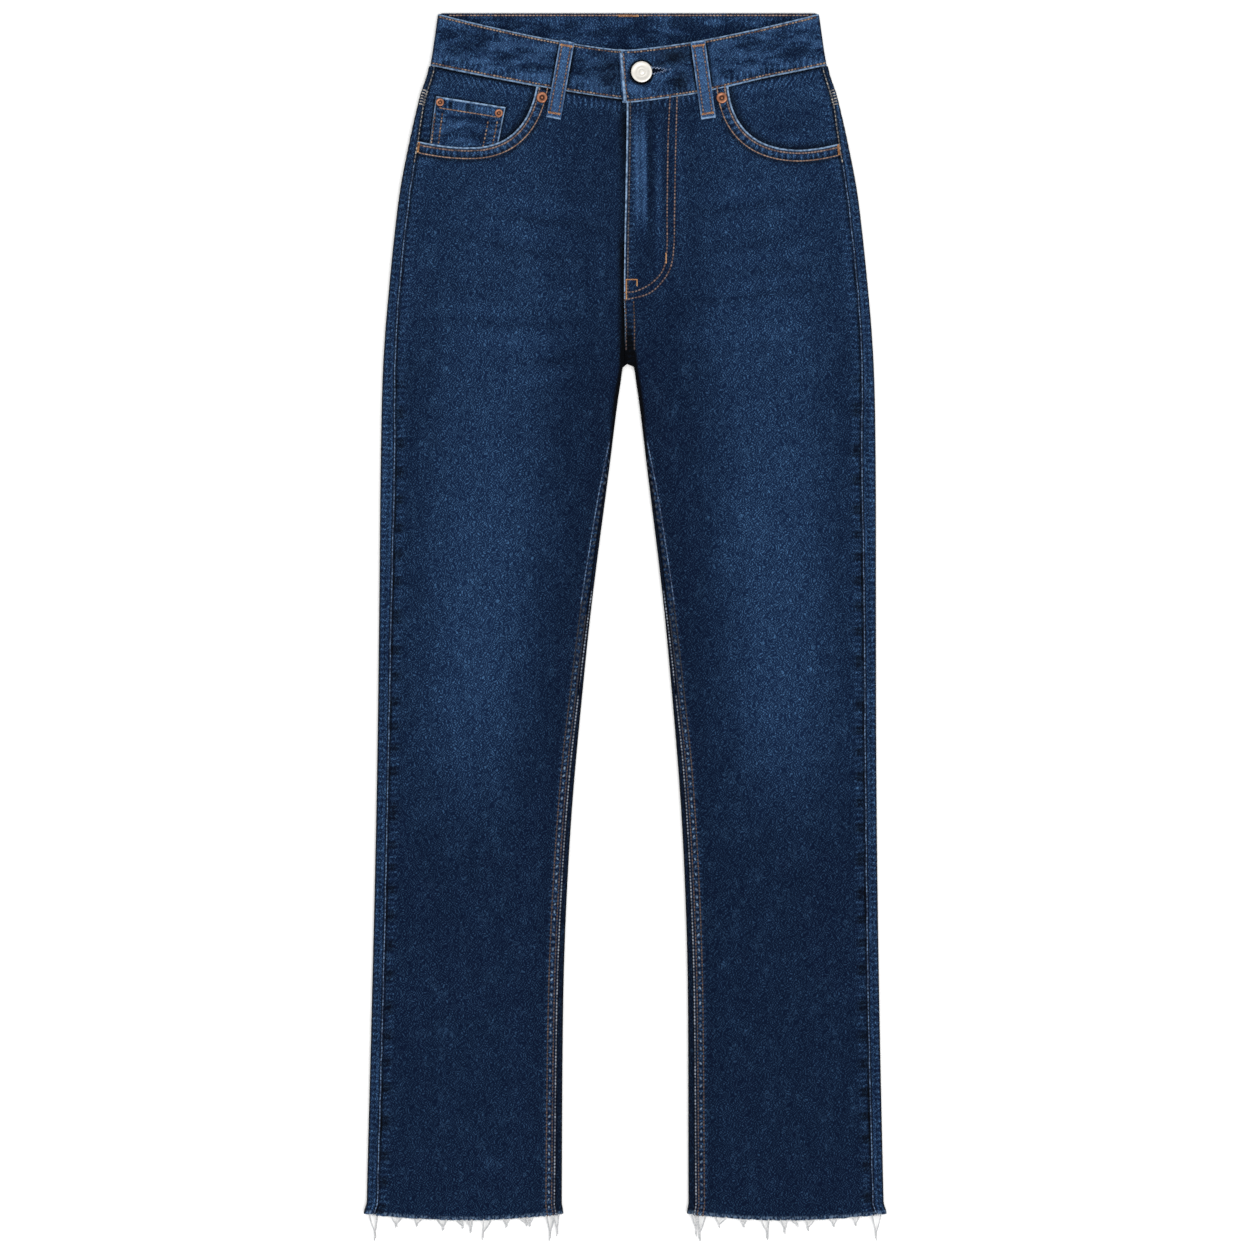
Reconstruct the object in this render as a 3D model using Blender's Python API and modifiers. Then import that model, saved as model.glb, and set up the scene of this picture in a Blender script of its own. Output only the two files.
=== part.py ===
"""High-waisted straight jeans with a raw, frayed hem, laid flat on their back on a table.

Units are metres. X runs across the garment, towards the side of the wearer's left leg. Y runs up from the
hems to the waist. Z is up, and the surface that the jeans lie on is Z = 0. The origin is under the middle
of the garment.

Every cloth piece follows one section. From a fold at each side of a leg the back cloth lies flat on the
surface, rolls up round the fold and comes over to the front, where the outseam and the inseam join it to
the front cloth. "down" is the distance below the back waist edge, and "out" the distance of a point from
the centre line, towards the outseam of its own leg.
"""

import math
from collections import namedtuple

import bmesh
import bpy
from mathutils import Vector

# Overall sizes.
TOTAL_LENGTH = 1.0701  # back waist edge to the tip of the longest fray
WALL = 0.0012  # one layer of denim, with its share of the seam allowances
GAP = 0.0003  # between two pieces that are sewn or pressed together
SEAM_LAYER = WALL + GAP  # how much lower a piece lies when it is tucked under another
RIGHT, LEFT = -1, 1  # the wearer's right and left leg, as the sign of X

# Outer outline, by distance below the waist. fold_height is the height of the rolled side fold, rest_height
# the top of the front cloth in the middle of the panel, seam_inset how far in from the outline the outseam lies.
Outer = namedtuple("Outer", "down half_width fold_height rest_height seam_inset")
OUTER = (
    Outer(0.0000, 0.1658, 0.0060, 0.0060, 0.0020),
    Outer(0.0475, 0.1732, 0.0060, 0.0060, 0.0022),
    Outer(0.0720, 0.1808, 0.0060, 0.0060, 0.0026),
    Outer(0.1190, 0.1915, 0.0060, 0.0060, 0.0060),
    Outer(0.1620, 0.1992, 0.0059, 0.0058, 0.0080),
    Outer(0.2490, 0.2085, 0.0055, 0.0050, 0.0095),
    Outer(0.3065, 0.2127, 0.0052, 0.0047, 0.0110),
    Outer(0.3885, 0.2145, 0.0052, 0.0050, 0.0130),
    Outer(0.5100, 0.2153, 0.0052, 0.0050, 0.0112),
    Outer(0.6840, 0.2168, 0.0052, 0.0043, 0.0092),
    Outer(0.8580, 0.2200, 0.0050, 0.0042, 0.0090),
    Outer(1.0440, 0.2244, 0.0048, 0.0040, 0.0088),
)

# Inner outline of a leg, below the crotch. half_gap is the distance from the centre line, and seam_wrap how
# far the back cloth has rolled round the fold, from the surface, when it meets the front cloth.
Inner = namedtuple("Inner", "down half_gap seam_wrap")
INNER = (
    Inner(0.3068, 0.0048, 0.0018),
    Inner(0.3360, 0.0096, 0.0045),
    Inner(0.3885, 0.0161, 0.0064),
    Inner(0.5100, 0.0313, 0.0076),
    Inner(0.5970, 0.0400, 0.0081),
    Inner(0.6840, 0.0474, 0.0086),
    Inner(0.7710, 0.0522, 0.0090),
    Inner(0.8580, 0.0547, 0.0094),
    Inner(1.0440, 0.0557, 0.0101),
)
CROTCH = INNER[0].down
CROTCH_EASE = 0.0012  # the gap at the inseam's top, where the cloth turns most sharply
SIDE_HEM = OUTER[-1].down
WAIST_SWAY = 0.0029  # how far the waist's centre lies towards the left leg from the hems' centre
HEM_SAG = 0.0057  # how much lower the middle of the front hem lies than its corners
HEM_FLARE = 0.0024  # how far the raw corners of the hem stand out past the seams
FLARE_LENGTH = 0.010
FOLD_REACH = 0.018  # how far the lift of a side fold carries into the panel
CENTRE_DIP = 0.0016  # the front cloth sinks this much between the pockets
DIP_NEAR, DIP_FAR = 0.044, 0.073
DIP_FROM, DIP_FULL = 0.076, 0.125

# Waistband.
BAND_WALL = 0.0026  # two layers of denim with their turnings
BAND_PROUD = 0.0004  # how far the band stands above the panels sewn into it
BAND_DROP = 0.0315  # how much lower the front top edge is at the centre than at the sides
BAND_SEAM_DROP = 0.0300
BAND_SIDE_DEPTH = 0.0448
BACK_BAND_DEPTH = 0.0442
UNDERLAP_OUT = -0.022  # the buttoned-under end, past the centre line
OVERLAP_TOP_OUT = -0.0066  # the buttonhole end is a little slanted
OVERLAP_SEAM_OUT = -0.0030
UNDERLAP_SINK = 0.0009
OVERLAP_RISE = 0.0020
LAP_NEAR, LAP_FAR = 0.030, 0.058  # where the rise and the sink of the band's ends begin and end

# Fly and crotch seam.
FLY_LIFT = 0.0018
FLY_WIDTH = 0.040  # to the outer row of the J-shaped stitching
FLY_BEND, FLY_END = 0.205, 0.250  # where the J starts to curve and where it reaches the edge
CROTCH_BAND = 0.012
FLY_EASE = 0.008
FLY_EDGE_TOP, FLY_EDGE_LOW = -0.0015, -0.0038  # the folded fly edge, past the centre line
FLY_UNDER_EDGE = -0.0020  # the right front's edge, hidden under the fly
SEAM_SHIFT = 0.0030  # below the fly, the seam runs this far on the right leg's side of the centre line
EDGE_TAPER_FROM, EDGE_TAPER_TO = 0.246, 0.272
CROTCH_LIFT = 0.0006  # the felled seam between the fly and the crotch

# Yoke seam across the seat, on the underside.
YOKE_TOP, YOKE_SIDE, YOKE_CENTRE = 0.0455, 0.0720, 0.1180

# Felled inseam: a raised band on the front, beside the seam.
FELL_WIDTH, FELL_LIFT, FELL_STEP = 0.0098, 0.0008, 0.0007

# Front pocket mouth, as two cubic curves from the waist seam to the outseam: (out, down).
MOUTH_CURVES = {
    RIGHT: (
        ((0.0795, 0.0600), (0.0835, 0.0860), (0.0955, 0.1150), (0.1340, 0.1165)),
        ((0.1340, 0.1165), (0.1500, 0.1172), (0.1680, 0.1146), (0.1830, 0.1112)),
    ),
    LEFT: (
        ((0.0865, 0.0600), (0.0880, 0.0880), (0.1000, 0.1175), (0.1460, 0.1190)),
        ((0.1460, 0.1190), (0.1600, 0.1190), (0.1720, 0.1165), (0.1845, 0.1132)),
    ),
}
MOUTH_STEPS = 7
FACING_DROP = {RIGHT: 2 * SEAM_LAYER, LEFT: SEAM_LAYER}  # the coin pocket lies between, on the right
FACING_INNER, FACING_DEPTH = 0.0735, 0.150

# Coin pocket, on the wearer's right: its corners as (out, down).
COIN_TOP_IN, COIN_TOP_OUT = (0.1070, 0.0810), (0.1675, 0.0714)
COIN_LOW_IN, COIN_LOW_OUT = (0.1175, 0.1330), (0.1755, 0.1330)
COIN_DROP = SEAM_LAYER

# Belt loops of the front, top and bottom centre as (out, down), for each side.
LOOP_WIDTH, LOOP_WALL = 0.0130, 0.0020
LOOP_ENDS = {
    "right": (RIGHT, (0.0532, 0.0240), (0.0653, 0.0912)),
    "left": (LEFT, (0.0602, 0.0240), (0.0696, 0.0914)),
}

# Hardware.
BUTTON_RADIUS, BUTTON_OUT, BUTTON_DOWN = 0.0092, 0.0114, 0.0512
RIVET_RADIUS, COIN_RIVET_RADIUS = 0.0049, 0.0037
POCKET_RIVETS = {RIGHT: (0.0752, 0.0728), LEFT: (0.0811, 0.0732)}
COIN_RIVETS = {"outer": (0.1640, 0.0768), "inner": (0.1128, 0.0862)}

# Soft folds of the front cloth. rise is negative for a trough; turn is the angle from the leg's length.
Crease = namedtuple("Crease", "side out down length width turn rise")
CREASES = (
    Crease(RIGHT, 0.120, 0.215, 0.120, 0.016, 78, -0.0007),
    Crease(RIGHT, 0.085, 0.262, 0.110, 0.014, 66, 0.0006),
    Crease(RIGHT, 0.070, 0.330, 0.100, 0.015, 54, -0.0007),
    Crease(RIGHT, 0.130, 0.470, 0.260, 0.030, 4, 0.0008),
    Crease(RIGHT, 0.150, 0.660, 0.110, 0.018, 74, -0.0006),
    Crease(RIGHT, 0.120, 0.890, 0.240, 0.024, -3, 0.0006),
    Crease(LEFT, 0.115, 0.205, 0.125, 0.015, 74, -0.0007),
    Crease(LEFT, 0.095, 0.275, 0.115, 0.015, 62, 0.0006),
    Crease(LEFT, 0.065, 0.345, 0.095, 0.014, 50, -0.0007),
    Crease(LEFT, 0.125, 0.500, 0.270, 0.028, -5, 0.0008),
    Crease(LEFT, 0.120, 0.690, 0.120, 0.018, 80, -0.0006),
    Crease(LEFT, 0.140, 0.910, 0.220, 0.026, 4, 0.0006),
)
CREASE_FADE = 0.030  # creases die out this close to a seam or the waist

# Frayed threads at the front hem, as locks of two strands that lean together. at runs from 0 at the inseam
# corner to 1 at the outseam corner.
Lock = namedtuple("Lock", "at spread lean length")
LOCKS = {
    RIGHT: (
        Lock(0.020, 0.0030, -0.0006, 0.0195),
        Lock(0.048, 0.0050, 0.0008, 0.0228),
        Lock(0.155, 0.0036, 0.0006, 0.0090),
        Lock(0.200, 0.0030, -0.0040, 0.0075),
        Lock(0.278, 0.0040, 0.0002, 0.0080),
        Lock(0.378, 0.0048, 0.0036, 0.0180),
        Lock(0.470, 0.0034, -0.0010, 0.0118),
        Lock(0.525, 0.0030, -0.0036, 0.0078),
        Lock(0.612, 0.0056, -0.0010, 0.0098),
        Lock(0.736, 0.0044, 0.0012, 0.0072),
        Lock(0.848, 0.0060, 0.0002, 0.0096),
        Lock(0.968, 0.0050, -0.0012, 0.0228),
    ),
    LEFT: (
        Lock(0.020, 0.0032, 0.0018, 0.0195),
        Lock(0.060, 0.0048, -0.0018, 0.0228),
        Lock(0.160, 0.0070, -0.0020, 0.0096),
        Lock(0.276, 0.0044, 0.0002, 0.0078),
        Lock(0.388, 0.0048, 0.0022, 0.0180),
        Lock(0.486, 0.0040, 0.0010, 0.0124),
        Lock(0.532, 0.0030, 0.0040, 0.0066),
        Lock(0.622, 0.0050, -0.0016, 0.0102),
        Lock(0.742, 0.0046, 0.0004, 0.0076),
        Lock(0.858, 0.0040, 0.0002, 0.0082),
        Lock(0.966, 0.0056, -0.0002, 0.0228),
    ),
}
STRAND_WIDTH = 0.0008
STRIP_WIDTH, STRIP_WALL = 0.0012, 0.0010
STRAND_CLEAR = 0.0004  # how far the tips end above the surface
BACK_LOCK_COUNT, BACK_LOCK_LENGTH = 7, 0.0050
OVER_BACK_FRAY = 0.0019  # the front strands pass this high over the fray of the hem below
BACK_FRAY_END = 1.0520

# Colours, as linear RGB, and finishes.
DENIM = (0.016, 0.045, 0.105)
DENIM_WORN = (0.030, 0.070, 0.150)
FRAY = (0.62, 0.63, 0.66)
COPPER = (0.70, 0.30, 0.14)
NICKEL = (0.86, 0.83, 0.78)


# ---- Small mathematics -------------------------------------------------------------------------------


def smooth_step(start, end, value):
    """0 before start, 1 after end, and an even S-curve between them."""
    t = min(1.0, max(0.0, (value - start) / (end - start)))
    return t * t * (3 - 2 * t)


def mix(a, b, share):
    return a + (b - a) * share


def read(table, name, down):
    """The named column at this distance down, on a smooth curve through the table's rows."""
    last = len(table) - 1
    down = min(max(down, table[0].down), table[last].down)
    i = next(k for k in range(last) if down <= table[k + 1].down)
    x0, x1 = table[i].down, table[i + 1].down
    y0, y1 = getattr(table[i], name), getattr(table[i + 1], name)
    before, after = table[max(i - 1, 0)], table[min(i + 2, last)]
    slope0 = (y1 - getattr(before, name)) / (x1 - before.down)
    slope1 = (getattr(after, name) - y0) / (after.down - x0)
    span = x1 - x0
    t = (down - x0) / span
    return (
        y0 * (1 + 2 * t) * (1 - t) ** 2
        + slope0 * span * t * (1 - t) ** 2
        + y1 * t * t * (3 - 2 * t)
        + slope1 * span * t * t * (t - 1)
    )


def bezier(points, t):
    """A point of the cubic curve with these four control points."""
    weights = ((1 - t) ** 3, 3 * t * (1 - t) ** 2, 3 * t * t * (1 - t), t**3)
    return tuple(sum(w * p[axis] for w, p in zip(weights, points)) for axis in (0, 1))


# ---- The garment's section ---------------------------------------------------------------------------


def half_width(down):
    flare = HEM_FLARE * smooth_step(SIDE_HEM - FLARE_LENGTH, SIDE_HEM, down)
    return read(OUTER, "half_width", down) + flare


def half_gap(down):
    flare = HEM_FLARE * smooth_step(SIDE_HEM - FLARE_LENGTH, SIDE_HEM, down)
    return read(INNER, "half_gap", down) - 0.6 * flare


def outer_radius(down):
    return read(OUTER, "fold_height", down) / 2


def inner_radius(down):
    """Half the height of the inseam fold, which starts from the cloth's own height at the crotch."""
    share = smooth_step(CROTCH - 0.01, CROTCH + 0.03, down)
    return mix(read(OUTER, "rest_height", down), read(OUTER, "fold_height", down), share) / 2


def crease_height(side, out, down):
    """The sum of the soft folds here."""
    total = 0.0
    for crease in CREASES:
        if crease.side != side:
            continue
        turn = math.radians(crease.turn)
        across, along = out - crease.out, down - crease.down
        u = along * math.cos(turn) + across * math.sin(turn)
        v = across * math.cos(turn) - along * math.sin(turn)
        total += crease.rise * math.exp(-((u / (crease.length / 2)) ** 2) - (v / crease.width) ** 2)
    return total


def fly_reach(down):
    """How far the raised fly, and below it the crotch seam, reaches from the centre line."""
    if down < FLY_BEND:
        return FLY_WIDTH
    share = min(1.0, (down - FLY_BEND) / (FLY_END - FLY_BEND))
    return max(CROTCH_BAND, FLY_WIDTH * math.sqrt(1 - share * share))


def fly_lift(side, out, down):
    if side != LEFT or down > CROTCH:
        return 0.0
    reach = fly_reach(down)
    lift = mix(FLY_LIFT, CROTCH_LIFT, smooth_step(EDGE_TAPER_TO, EDGE_TAPER_TO + 0.020, down))
    return lift * (1 - smooth_step(reach, reach + FLY_EASE, out))


def centre_dip(out, down):
    return CENTRE_DIP * (1 - smooth_step(DIP_NEAR, DIP_FAR, out)) * smooth_step(DIP_FROM, DIP_FULL, down)


def front_height(side, out, down):
    """The top of the front cloth above the surface."""
    rest = read(OUTER, "rest_height", down) - centre_dip(out, down) * (1 - smooth_step(0.20, 0.29, down))
    edge = half_width(down) - outer_radius(down) - out
    lift = 2 * outer_radius(down) - rest
    height = rest + lift * math.exp(-((max(edge, 0.0) / FOLD_REACH) ** 2))
    nearest = edge
    if down > CROTCH:
        inner = out - half_gap(down) - inner_radius(down)
        lift = 2 * inner_radius(down) - rest
        height += lift * math.exp(-((max(inner, 0.0) / FOLD_REACH) ** 2))
        nearest = min(edge, inner)
    fade = smooth_step(0.0, CREASE_FADE, nearest) * smooth_step(0.14, 0.18, down)
    return height + crease_height(side, out, down) * fade + fly_lift(side, out, down)


def outer_path(side, down, arc, lift=0.0):
    """(out, height) on the outside of the cloth, this far round the outseam fold from the surface."""
    radius = outer_radius(down)
    foot = half_width(down) - radius
    if arc <= 0:
        return foot + arc, -lift
    if arc < math.pi * radius:
        turn = arc / radius
        return foot + (radius + lift) * math.sin(turn), radius - (radius + lift) * math.cos(turn)
    out = foot - (arc - math.pi * radius)
    return out, front_height(side, out, down) + lift


def inner_path(side, down, arc, lift=0.0):
    """(out, height) on the outside of the cloth, this far round the inseam fold from the surface."""
    radius = inner_radius(down)
    foot = half_gap(down) + radius
    if arc <= 0:
        return foot - arc, -lift
    if arc < math.pi * radius:
        turn = arc / radius
        return foot - (radius + lift) * math.sin(turn), radius - (radius + lift) * math.cos(turn)
    out = foot + (arc - math.pi * radius)
    return out, front_height(side, out, down) + lift


def outseam_arc(down):
    """How far round the outseam fold the seam lies, from the surface."""
    radius, inset = outer_radius(down), read(OUTER, "seam_inset", down)
    if inset >= radius:
        return math.pi * radius + inset - radius
    return radius * (math.pi - math.asin(1 - inset / radius))


def place(side, out, down, height):
    """The world point, from the garment's own measures."""
    sway = WAIST_SWAY * (1 - smooth_step(0.25, SIDE_HEM, down))
    return Vector((side * out + sway, TOTAL_LENGTH / 2 - down, height))


# ---- Building ----------------------------------------------------------------------------------------


def clear_scene():
    for obj in list(bpy.data.objects):
        bpy.data.objects.remove(obj)


def new_collection(name):
    collection = bpy.data.collections.new(name)
    bpy.context.scene.collection.children.link(collection)
    return collection


def new_material(name, colour, roughness, metallic):
    material = bpy.data.materials.new(name)
    material.use_nodes = True
    shader = material.node_tree.nodes["Principled BSDF"]
    shader.inputs["Base Color"].default_value = (*colour, 1)
    shader.inputs["Roughness"].default_value = roughness
    shader.inputs["Metallic"].default_value = metallic
    return material


def object_of(mesh_or_curve, name, collection, material=None):
    obj = bpy.data.objects.new(name, mesh_or_curve)
    collection.objects.link(obj)
    if material:
        obj.data.materials.append(material)
    return obj


def add_sheet(name, columns, rows, point, flip, material):
    """An open grid of cloth: point(column, row) gives each world point. flip turns the faces over."""
    grid = bmesh.new()
    bmesh.ops.create_grid(grid, x_segments=columns, y_segments=rows, size=1)
    for vertex in grid.verts:
        column = round((vertex.co.x + 1) / 2 * columns)
        row = round((vertex.co.y + 1) / 2 * rows)
        vertex.co = point(column, row)
    if flip:
        bmesh.ops.reverse_faces(grid, faces=grid.faces)
    for edge in grid.edges:
        edge.smooth = not edge.is_boundary
    mesh = bpy.data.meshes.new(name)
    grid.to_mesh(mesh)
    grid.free()
    mesh.shade_smooth()
    return object_of(mesh, name, cloth, material)


def add_wall(obj, thickness):
    """Gives the sheet its thickness, inwards from its outside."""
    wall = obj.modifiers.new("wall", "SOLIDIFY")
    wall.thickness = thickness
    wall.offset = -1
    wall.use_even_offset = True
    return obj


def turned(name, profile, steps, centre, collection, material):
    """A turned solid from a (radius, height) profile that runs down its outer side."""
    mesh = bpy.data.meshes.new(name)
    points = [(radius, 0, height) for radius, height in profile]
    edges = [(i, i + 1) for i in range(len(points) - 1)]
    mesh.from_pydata(points, edges, [])
    obj = object_of(mesh, name, collection, material)
    obj.location = centre
    screw = obj.modifiers.new("turn", "SCREW")
    screw.steps = screw.render_steps = steps
    screw.use_merge_vertices = True
    screw.merge_threshold = 0.00005
    return obj


# ---- Rows and columns of the panels ------------------------------------------------------------------

FRONT_ROWS = (
    0.0455, 0.062, 0.080, 0.098, 0.119, 0.140, 0.165, 0.190, 0.215, 0.240, 0.251, 0.262, 0.272, 0.282,
    0.2930, 0.3040, 0.3068, 0.3110, 0.3200, 0.3360, 0.360, 0.390, 0.430, 0.480, 0.535, 0.590, 0.645, 0.700, 0.760, 0.830,
    0.900, 0.970, 1.0150, SIDE_HEM - FLARE_LENGTH, 1.0395, SIDE_HEM,
)
BACK_ROWS = (0.0723, 0.095, 0.130, 0.170) + tuple(row for row in FRONT_ROWS if row > 0.19)
FELL_OFFSETS = (0.0, FELL_STEP, 0.0025, 0.0045, 0.0070, FELL_WIDTH - FELL_STEP, FELL_WIDTH, 0.018)
FRONT_MIDDLE = 9  # even columns between the fell and the outseam's own columns
OUTSEAM_OFFSETS = (0.022, 0.010, 0.004, 0.0)
CURL_COLUMNS = 5
BACK_MIDDLE = 3


def fly_edge(side, down):
    """Where the front's centre edge lies: overlapped at the fly, and edge to edge from there to the crotch."""
    taper = smooth_step(EDGE_TAPER_FROM, EDGE_TAPER_TO, down)
    if side == LEFT:
        return mix(mix(FLY_EDGE_TOP, FLY_EDGE_LOW, smooth_step(0.075, 0.24, down)), -SEAM_SHIFT, taper)
    return mix(FLY_UNDER_EDGE, SEAM_SHIFT + GAP, taper)


def front_band_seam(out):
    """How far down the waistband's seam lies on the front."""
    share = min(1.0, abs(out) / half_width(BAND_SIDE_DEPTH))
    return BAND_SIDE_DEPTH + BAND_SEAM_DROP * (1 - share**1.2)


def front_band_top(out):
    share = min(1.0, abs(out) / half_width(0.0))
    return BAND_DROP * (1 - share**1.35)


def front_down(out, down):
    """A row of the front bends to follow the waist seam at its top and the hem at its foot."""
    waist = (front_band_seam(out) + GAP - FRONT_ROWS[0]) * (1 - smooth_step(FRONT_ROWS[0], 0.24, down))
    middle = (half_width(SIDE_HEM) + half_gap(SIDE_HEM)) / 2
    half = (half_width(SIDE_HEM) - half_gap(SIDE_HEM)) / 2
    across = min(1.0, abs((out - middle) / half))
    hem = HEM_SAG * (1 - across * across) * smooth_step(0.90, SIDE_HEM, down)
    return down + waist + hem


def yoke_seam(out):
    share = min(1.0, abs(out) / half_width(YOKE_SIDE))
    return mix(YOKE_CENTRE, YOKE_SIDE, share)


def front_panel(side, name):
    columns = len(FELL_OFFSETS) + FRONT_MIDDLE + len(OUTSEAM_OFFSETS) - 1

    def point(column, row):
        down = FRONT_ROWS[len(FRONT_ROWS) - 1 - row]
        seam_out = half_width(down) - max(read(OUTER, "seam_inset", down), outer_radius(down)) - GAP
        below_crotch = down >= CROTCH
        fell_share = smooth_step(CROTCH, CROTCH + 0.012, down)

        def near_inseam(offset):
            raised = FELL_STEP / 2 < offset < FELL_WIDTH - FELL_STEP / 2
            lift = FELL_LIFT * fell_share if raised else 0.0
            if below_crotch:
                wrap = read(INNER, "seam_wrap", down) + mix(CROTCH_EASE, GAP, fell_share)
                return inner_path(side, down, wrap + offset, lift)
            out = fly_edge(side, down) + offset
            return out, front_height(side, out, front_down(out, down))

        if column < len(FELL_OFFSETS):
            out, height = near_inseam(FELL_OFFSETS[column])
            return place(side, out, front_down(out, down), height)
        first = near_inseam(FELL_OFFSETS[-1])[0]
        last = seam_out - OUTSEAM_OFFSETS[0]
        step = column - len(FELL_OFFSETS) + 1
        if step <= FRONT_MIDDLE:
            out = mix(first, last, step / (FRONT_MIDDLE + 1))
        else:
            out = seam_out - OUTSEAM_OFFSETS[step - FRONT_MIDDLE - 1]
        bent = front_down(out, down)
        return place(side, out, bent, front_height(side, out, bent))

    sheet = add_sheet(name, columns, len(FRONT_ROWS) - 1, point, side == RIGHT, denim)
    return add_wall(sheet, WALL)


def back_columns(side, down, column, end_arc, end_out):
    """(out, height) of a column of the back cloth, from the outseam round the fold to the centre or the inseam."""
    arc = outseam_arc(down)
    bend = min(math.pi * outer_radius(down), 0.85 * arc)
    if column == 0:
        return outer_path(side, down, arc)
    if column <= CURL_COLUMNS + 1:
        return outer_path(side, down, bend * (1 - (column - 1) / CURL_COLUMNS))
    foot = half_width(down) - outer_radius(down)
    step = column - CURL_COLUMNS - 1
    inner_foot = 0.012 if end_arc is None else half_gap(down) + inner_radius(down)
    if step <= BACK_MIDDLE + 1:
        return mix(foot, inner_foot, step / (BACK_MIDDLE + 1)), 0.0
    share = (step - BACK_MIDDLE - 1) / CURL_COLUMNS
    if end_arc is None:
        return mix(inner_foot, end_out, share), 0.0
    return inner_path(side, down, end_arc * share)


def back_panel(side, name):
    columns = 2 * CURL_COLUMNS + BACK_MIDDLE + 2

    def point(column, row):
        down = BACK_ROWS[len(BACK_ROWS) - 1 - row]
        wrap = read(INNER, "seam_wrap", down) if down >= CROTCH else None
        out, height = back_columns(side, down, columns - column, wrap, GAP / 2)
        seam = (yoke_seam(out) - YOKE_SIDE) * (1 - smooth_step(YOKE_SIDE, 0.26, down))
        return place(side, out, down + seam, height)

    sheet = add_sheet(name, columns, len(BACK_ROWS) - 1, point, side == LEFT, denim)
    return add_wall(sheet, WALL)


def yoke(side, name):
    columns = CURL_COLUMNS + BACK_MIDDLE + 2
    rows = 2

    def point(column, row):
        share = 1 - row / rows
        down = mix(YOKE_TOP, YOKE_SIDE, share)
        if column > 0:
            out, height = back_columns(side, down, columns - column, None, GAP / 2)
        else:
            out, height = GAP / 2, 0.0
        low = yoke_seam(out)
        return place(side, out, mix(YOKE_TOP, low, share), height)

    sheet = add_sheet(name, columns, rows, point, side == LEFT, denim)
    return add_wall(sheet, WALL)


# ---- Waistband ---------------------------------------------------------------------------------------

BAND_COLUMNS, BAND_CURL, BAND_BACK, BAND_ROWS = 12, 6, 8, 3


def band_height(side, out, down):
    """The top of the front waistband, with its ends lapped at the centre."""
    height = front_height(RIGHT, abs(out), down) + BAND_PROUD
    lap = 1 - smooth_step(LAP_NEAR, LAP_FAR, out)
    return height + (OVERLAP_RISE if side == LEFT else -UNDERLAP_SINK) * lap


def waistband():
    """One strip from the underlap, round the wearer's right side, the back and the left side, to the overlap."""
    half = BAND_COLUMNS + BAND_CURL + BAND_BACK // 2
    columns = 2 * half

    def front(side, share, depth):
        end = UNDERLAP_OUT if side == RIGHT else mix(OVERLAP_TOP_OUT, OVERLAP_SEAM_OUT, depth)
        side_down = mix(0.0, BAND_SIDE_DEPTH, depth)
        fold = half_width(side_down) - outer_radius(side_down) - BAND_PROUD / 2
        out = mix(end, fold, share)
        down = mix(front_band_top(out), front_band_seam(out), depth)
        return place(side, out, down, band_height(side, out, down))

    def point(column, row):
        depth = 1 - row / BAND_ROWS
        side = RIGHT if column <= half else LEFT
        step = column if column <= half else columns - column
        if step <= BAND_COLUMNS:
            return front(side, step / BAND_COLUMNS, depth)
        side_down = mix(0.0, BAND_SIDE_DEPTH, depth)
        height = 2 * outer_radius(side_down) + BAND_PROUD
        radius = height / 2
        fold = half_width(side_down) - radius
        back_down = mix(0.0, BACK_BAND_DEPTH, depth)
        if step <= BAND_COLUMNS + BAND_CURL:
            share = (step - BAND_COLUMNS) / BAND_CURL
            turn = math.pi * share
            front_edge = mix(front_band_top(fold), front_band_seam(fold), depth)
            down = mix(front_edge, back_down, share)
            return place(side, fold + radius * math.sin(turn), down, radius + radius * math.cos(turn))
        share = (step - BAND_COLUMNS - BAND_CURL) / (BAND_BACK // 2)
        return place(side, fold * (1 - share), back_down, 0.0)

    band = add_sheet("waistband", columns, BAND_ROWS, point, True, denim)
    return add_wall(band, BAND_WALL)


# ---- Pockets -----------------------------------------------------------------------------------------


def mouth_outline(side):
    """The pocket mouth as a closed outline in plan: the curve, and a margin past the waist and the outseam."""
    near_waist, near_side = MOUTH_CURVES[side]
    curve = [bezier(near_waist, step / MOUTH_STEPS) for step in range(MOUTH_STEPS)]
    curve += [bezier(near_side, step / MOUTH_STEPS) for step in range(MOUTH_STEPS + 1)]
    seam_end = (curve[-1][0] + 0.030, curve[-1][1] - 0.004)
    past_waist = 0.020
    outline = [(curve[0][0], past_waist), *curve, seam_end, (seam_end[0], past_waist)]
    return [place(side, out, down, 0.0).xy for out, down in outline]


def mouth_cutter(side):
    """A prism of the pocket mouth, as a mesh, because a Boolean takes no curve."""
    curve = bpy.data.curves.new("mouth_outline", "CURVE")
    curve.dimensions = "2D"
    curve.fill_mode = "BOTH"
    curve.extrude = 0.020
    outline = mouth_outline(side)
    spline = curve.splines.new("POLY")
    spline.points.add(len(outline) - 1)
    for point, (x, y) in zip(spline.points, outline):
        point.co = (x, y, 0, 1)
    spline.use_cyclic_u = True
    guide = object_of(curve, "mouth_guide", cutters)
    bpy.context.view_layer.update()
    evaluated = guide.evaluated_get(bpy.context.evaluated_depsgraph_get())
    mesh = bpy.data.meshes.new_from_object(evaluated)
    bpy.data.objects.remove(guide)
    solid = bmesh.new()
    solid.from_mesh(mesh)
    bmesh.ops.remove_doubles(solid, verts=solid.verts, dist=0.00001)
    bmesh.ops.recalc_face_normals(solid, faces=solid.faces)
    solid.to_mesh(mesh)
    solid.free()
    cutter = object_of(mesh, "mouth_cutter_" + ("right" if side == RIGHT else "left"), cutters)
    cutter.hide_render = True
    cutter.display_type = "WIRE"
    return cutter


def cut_mouth(panel, side):
    cut = panel.modifiers.new("pocket_mouth", "BOOLEAN")
    cut.operation = "DIFFERENCE"
    cut.object = mouth_cutter(side)


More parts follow.
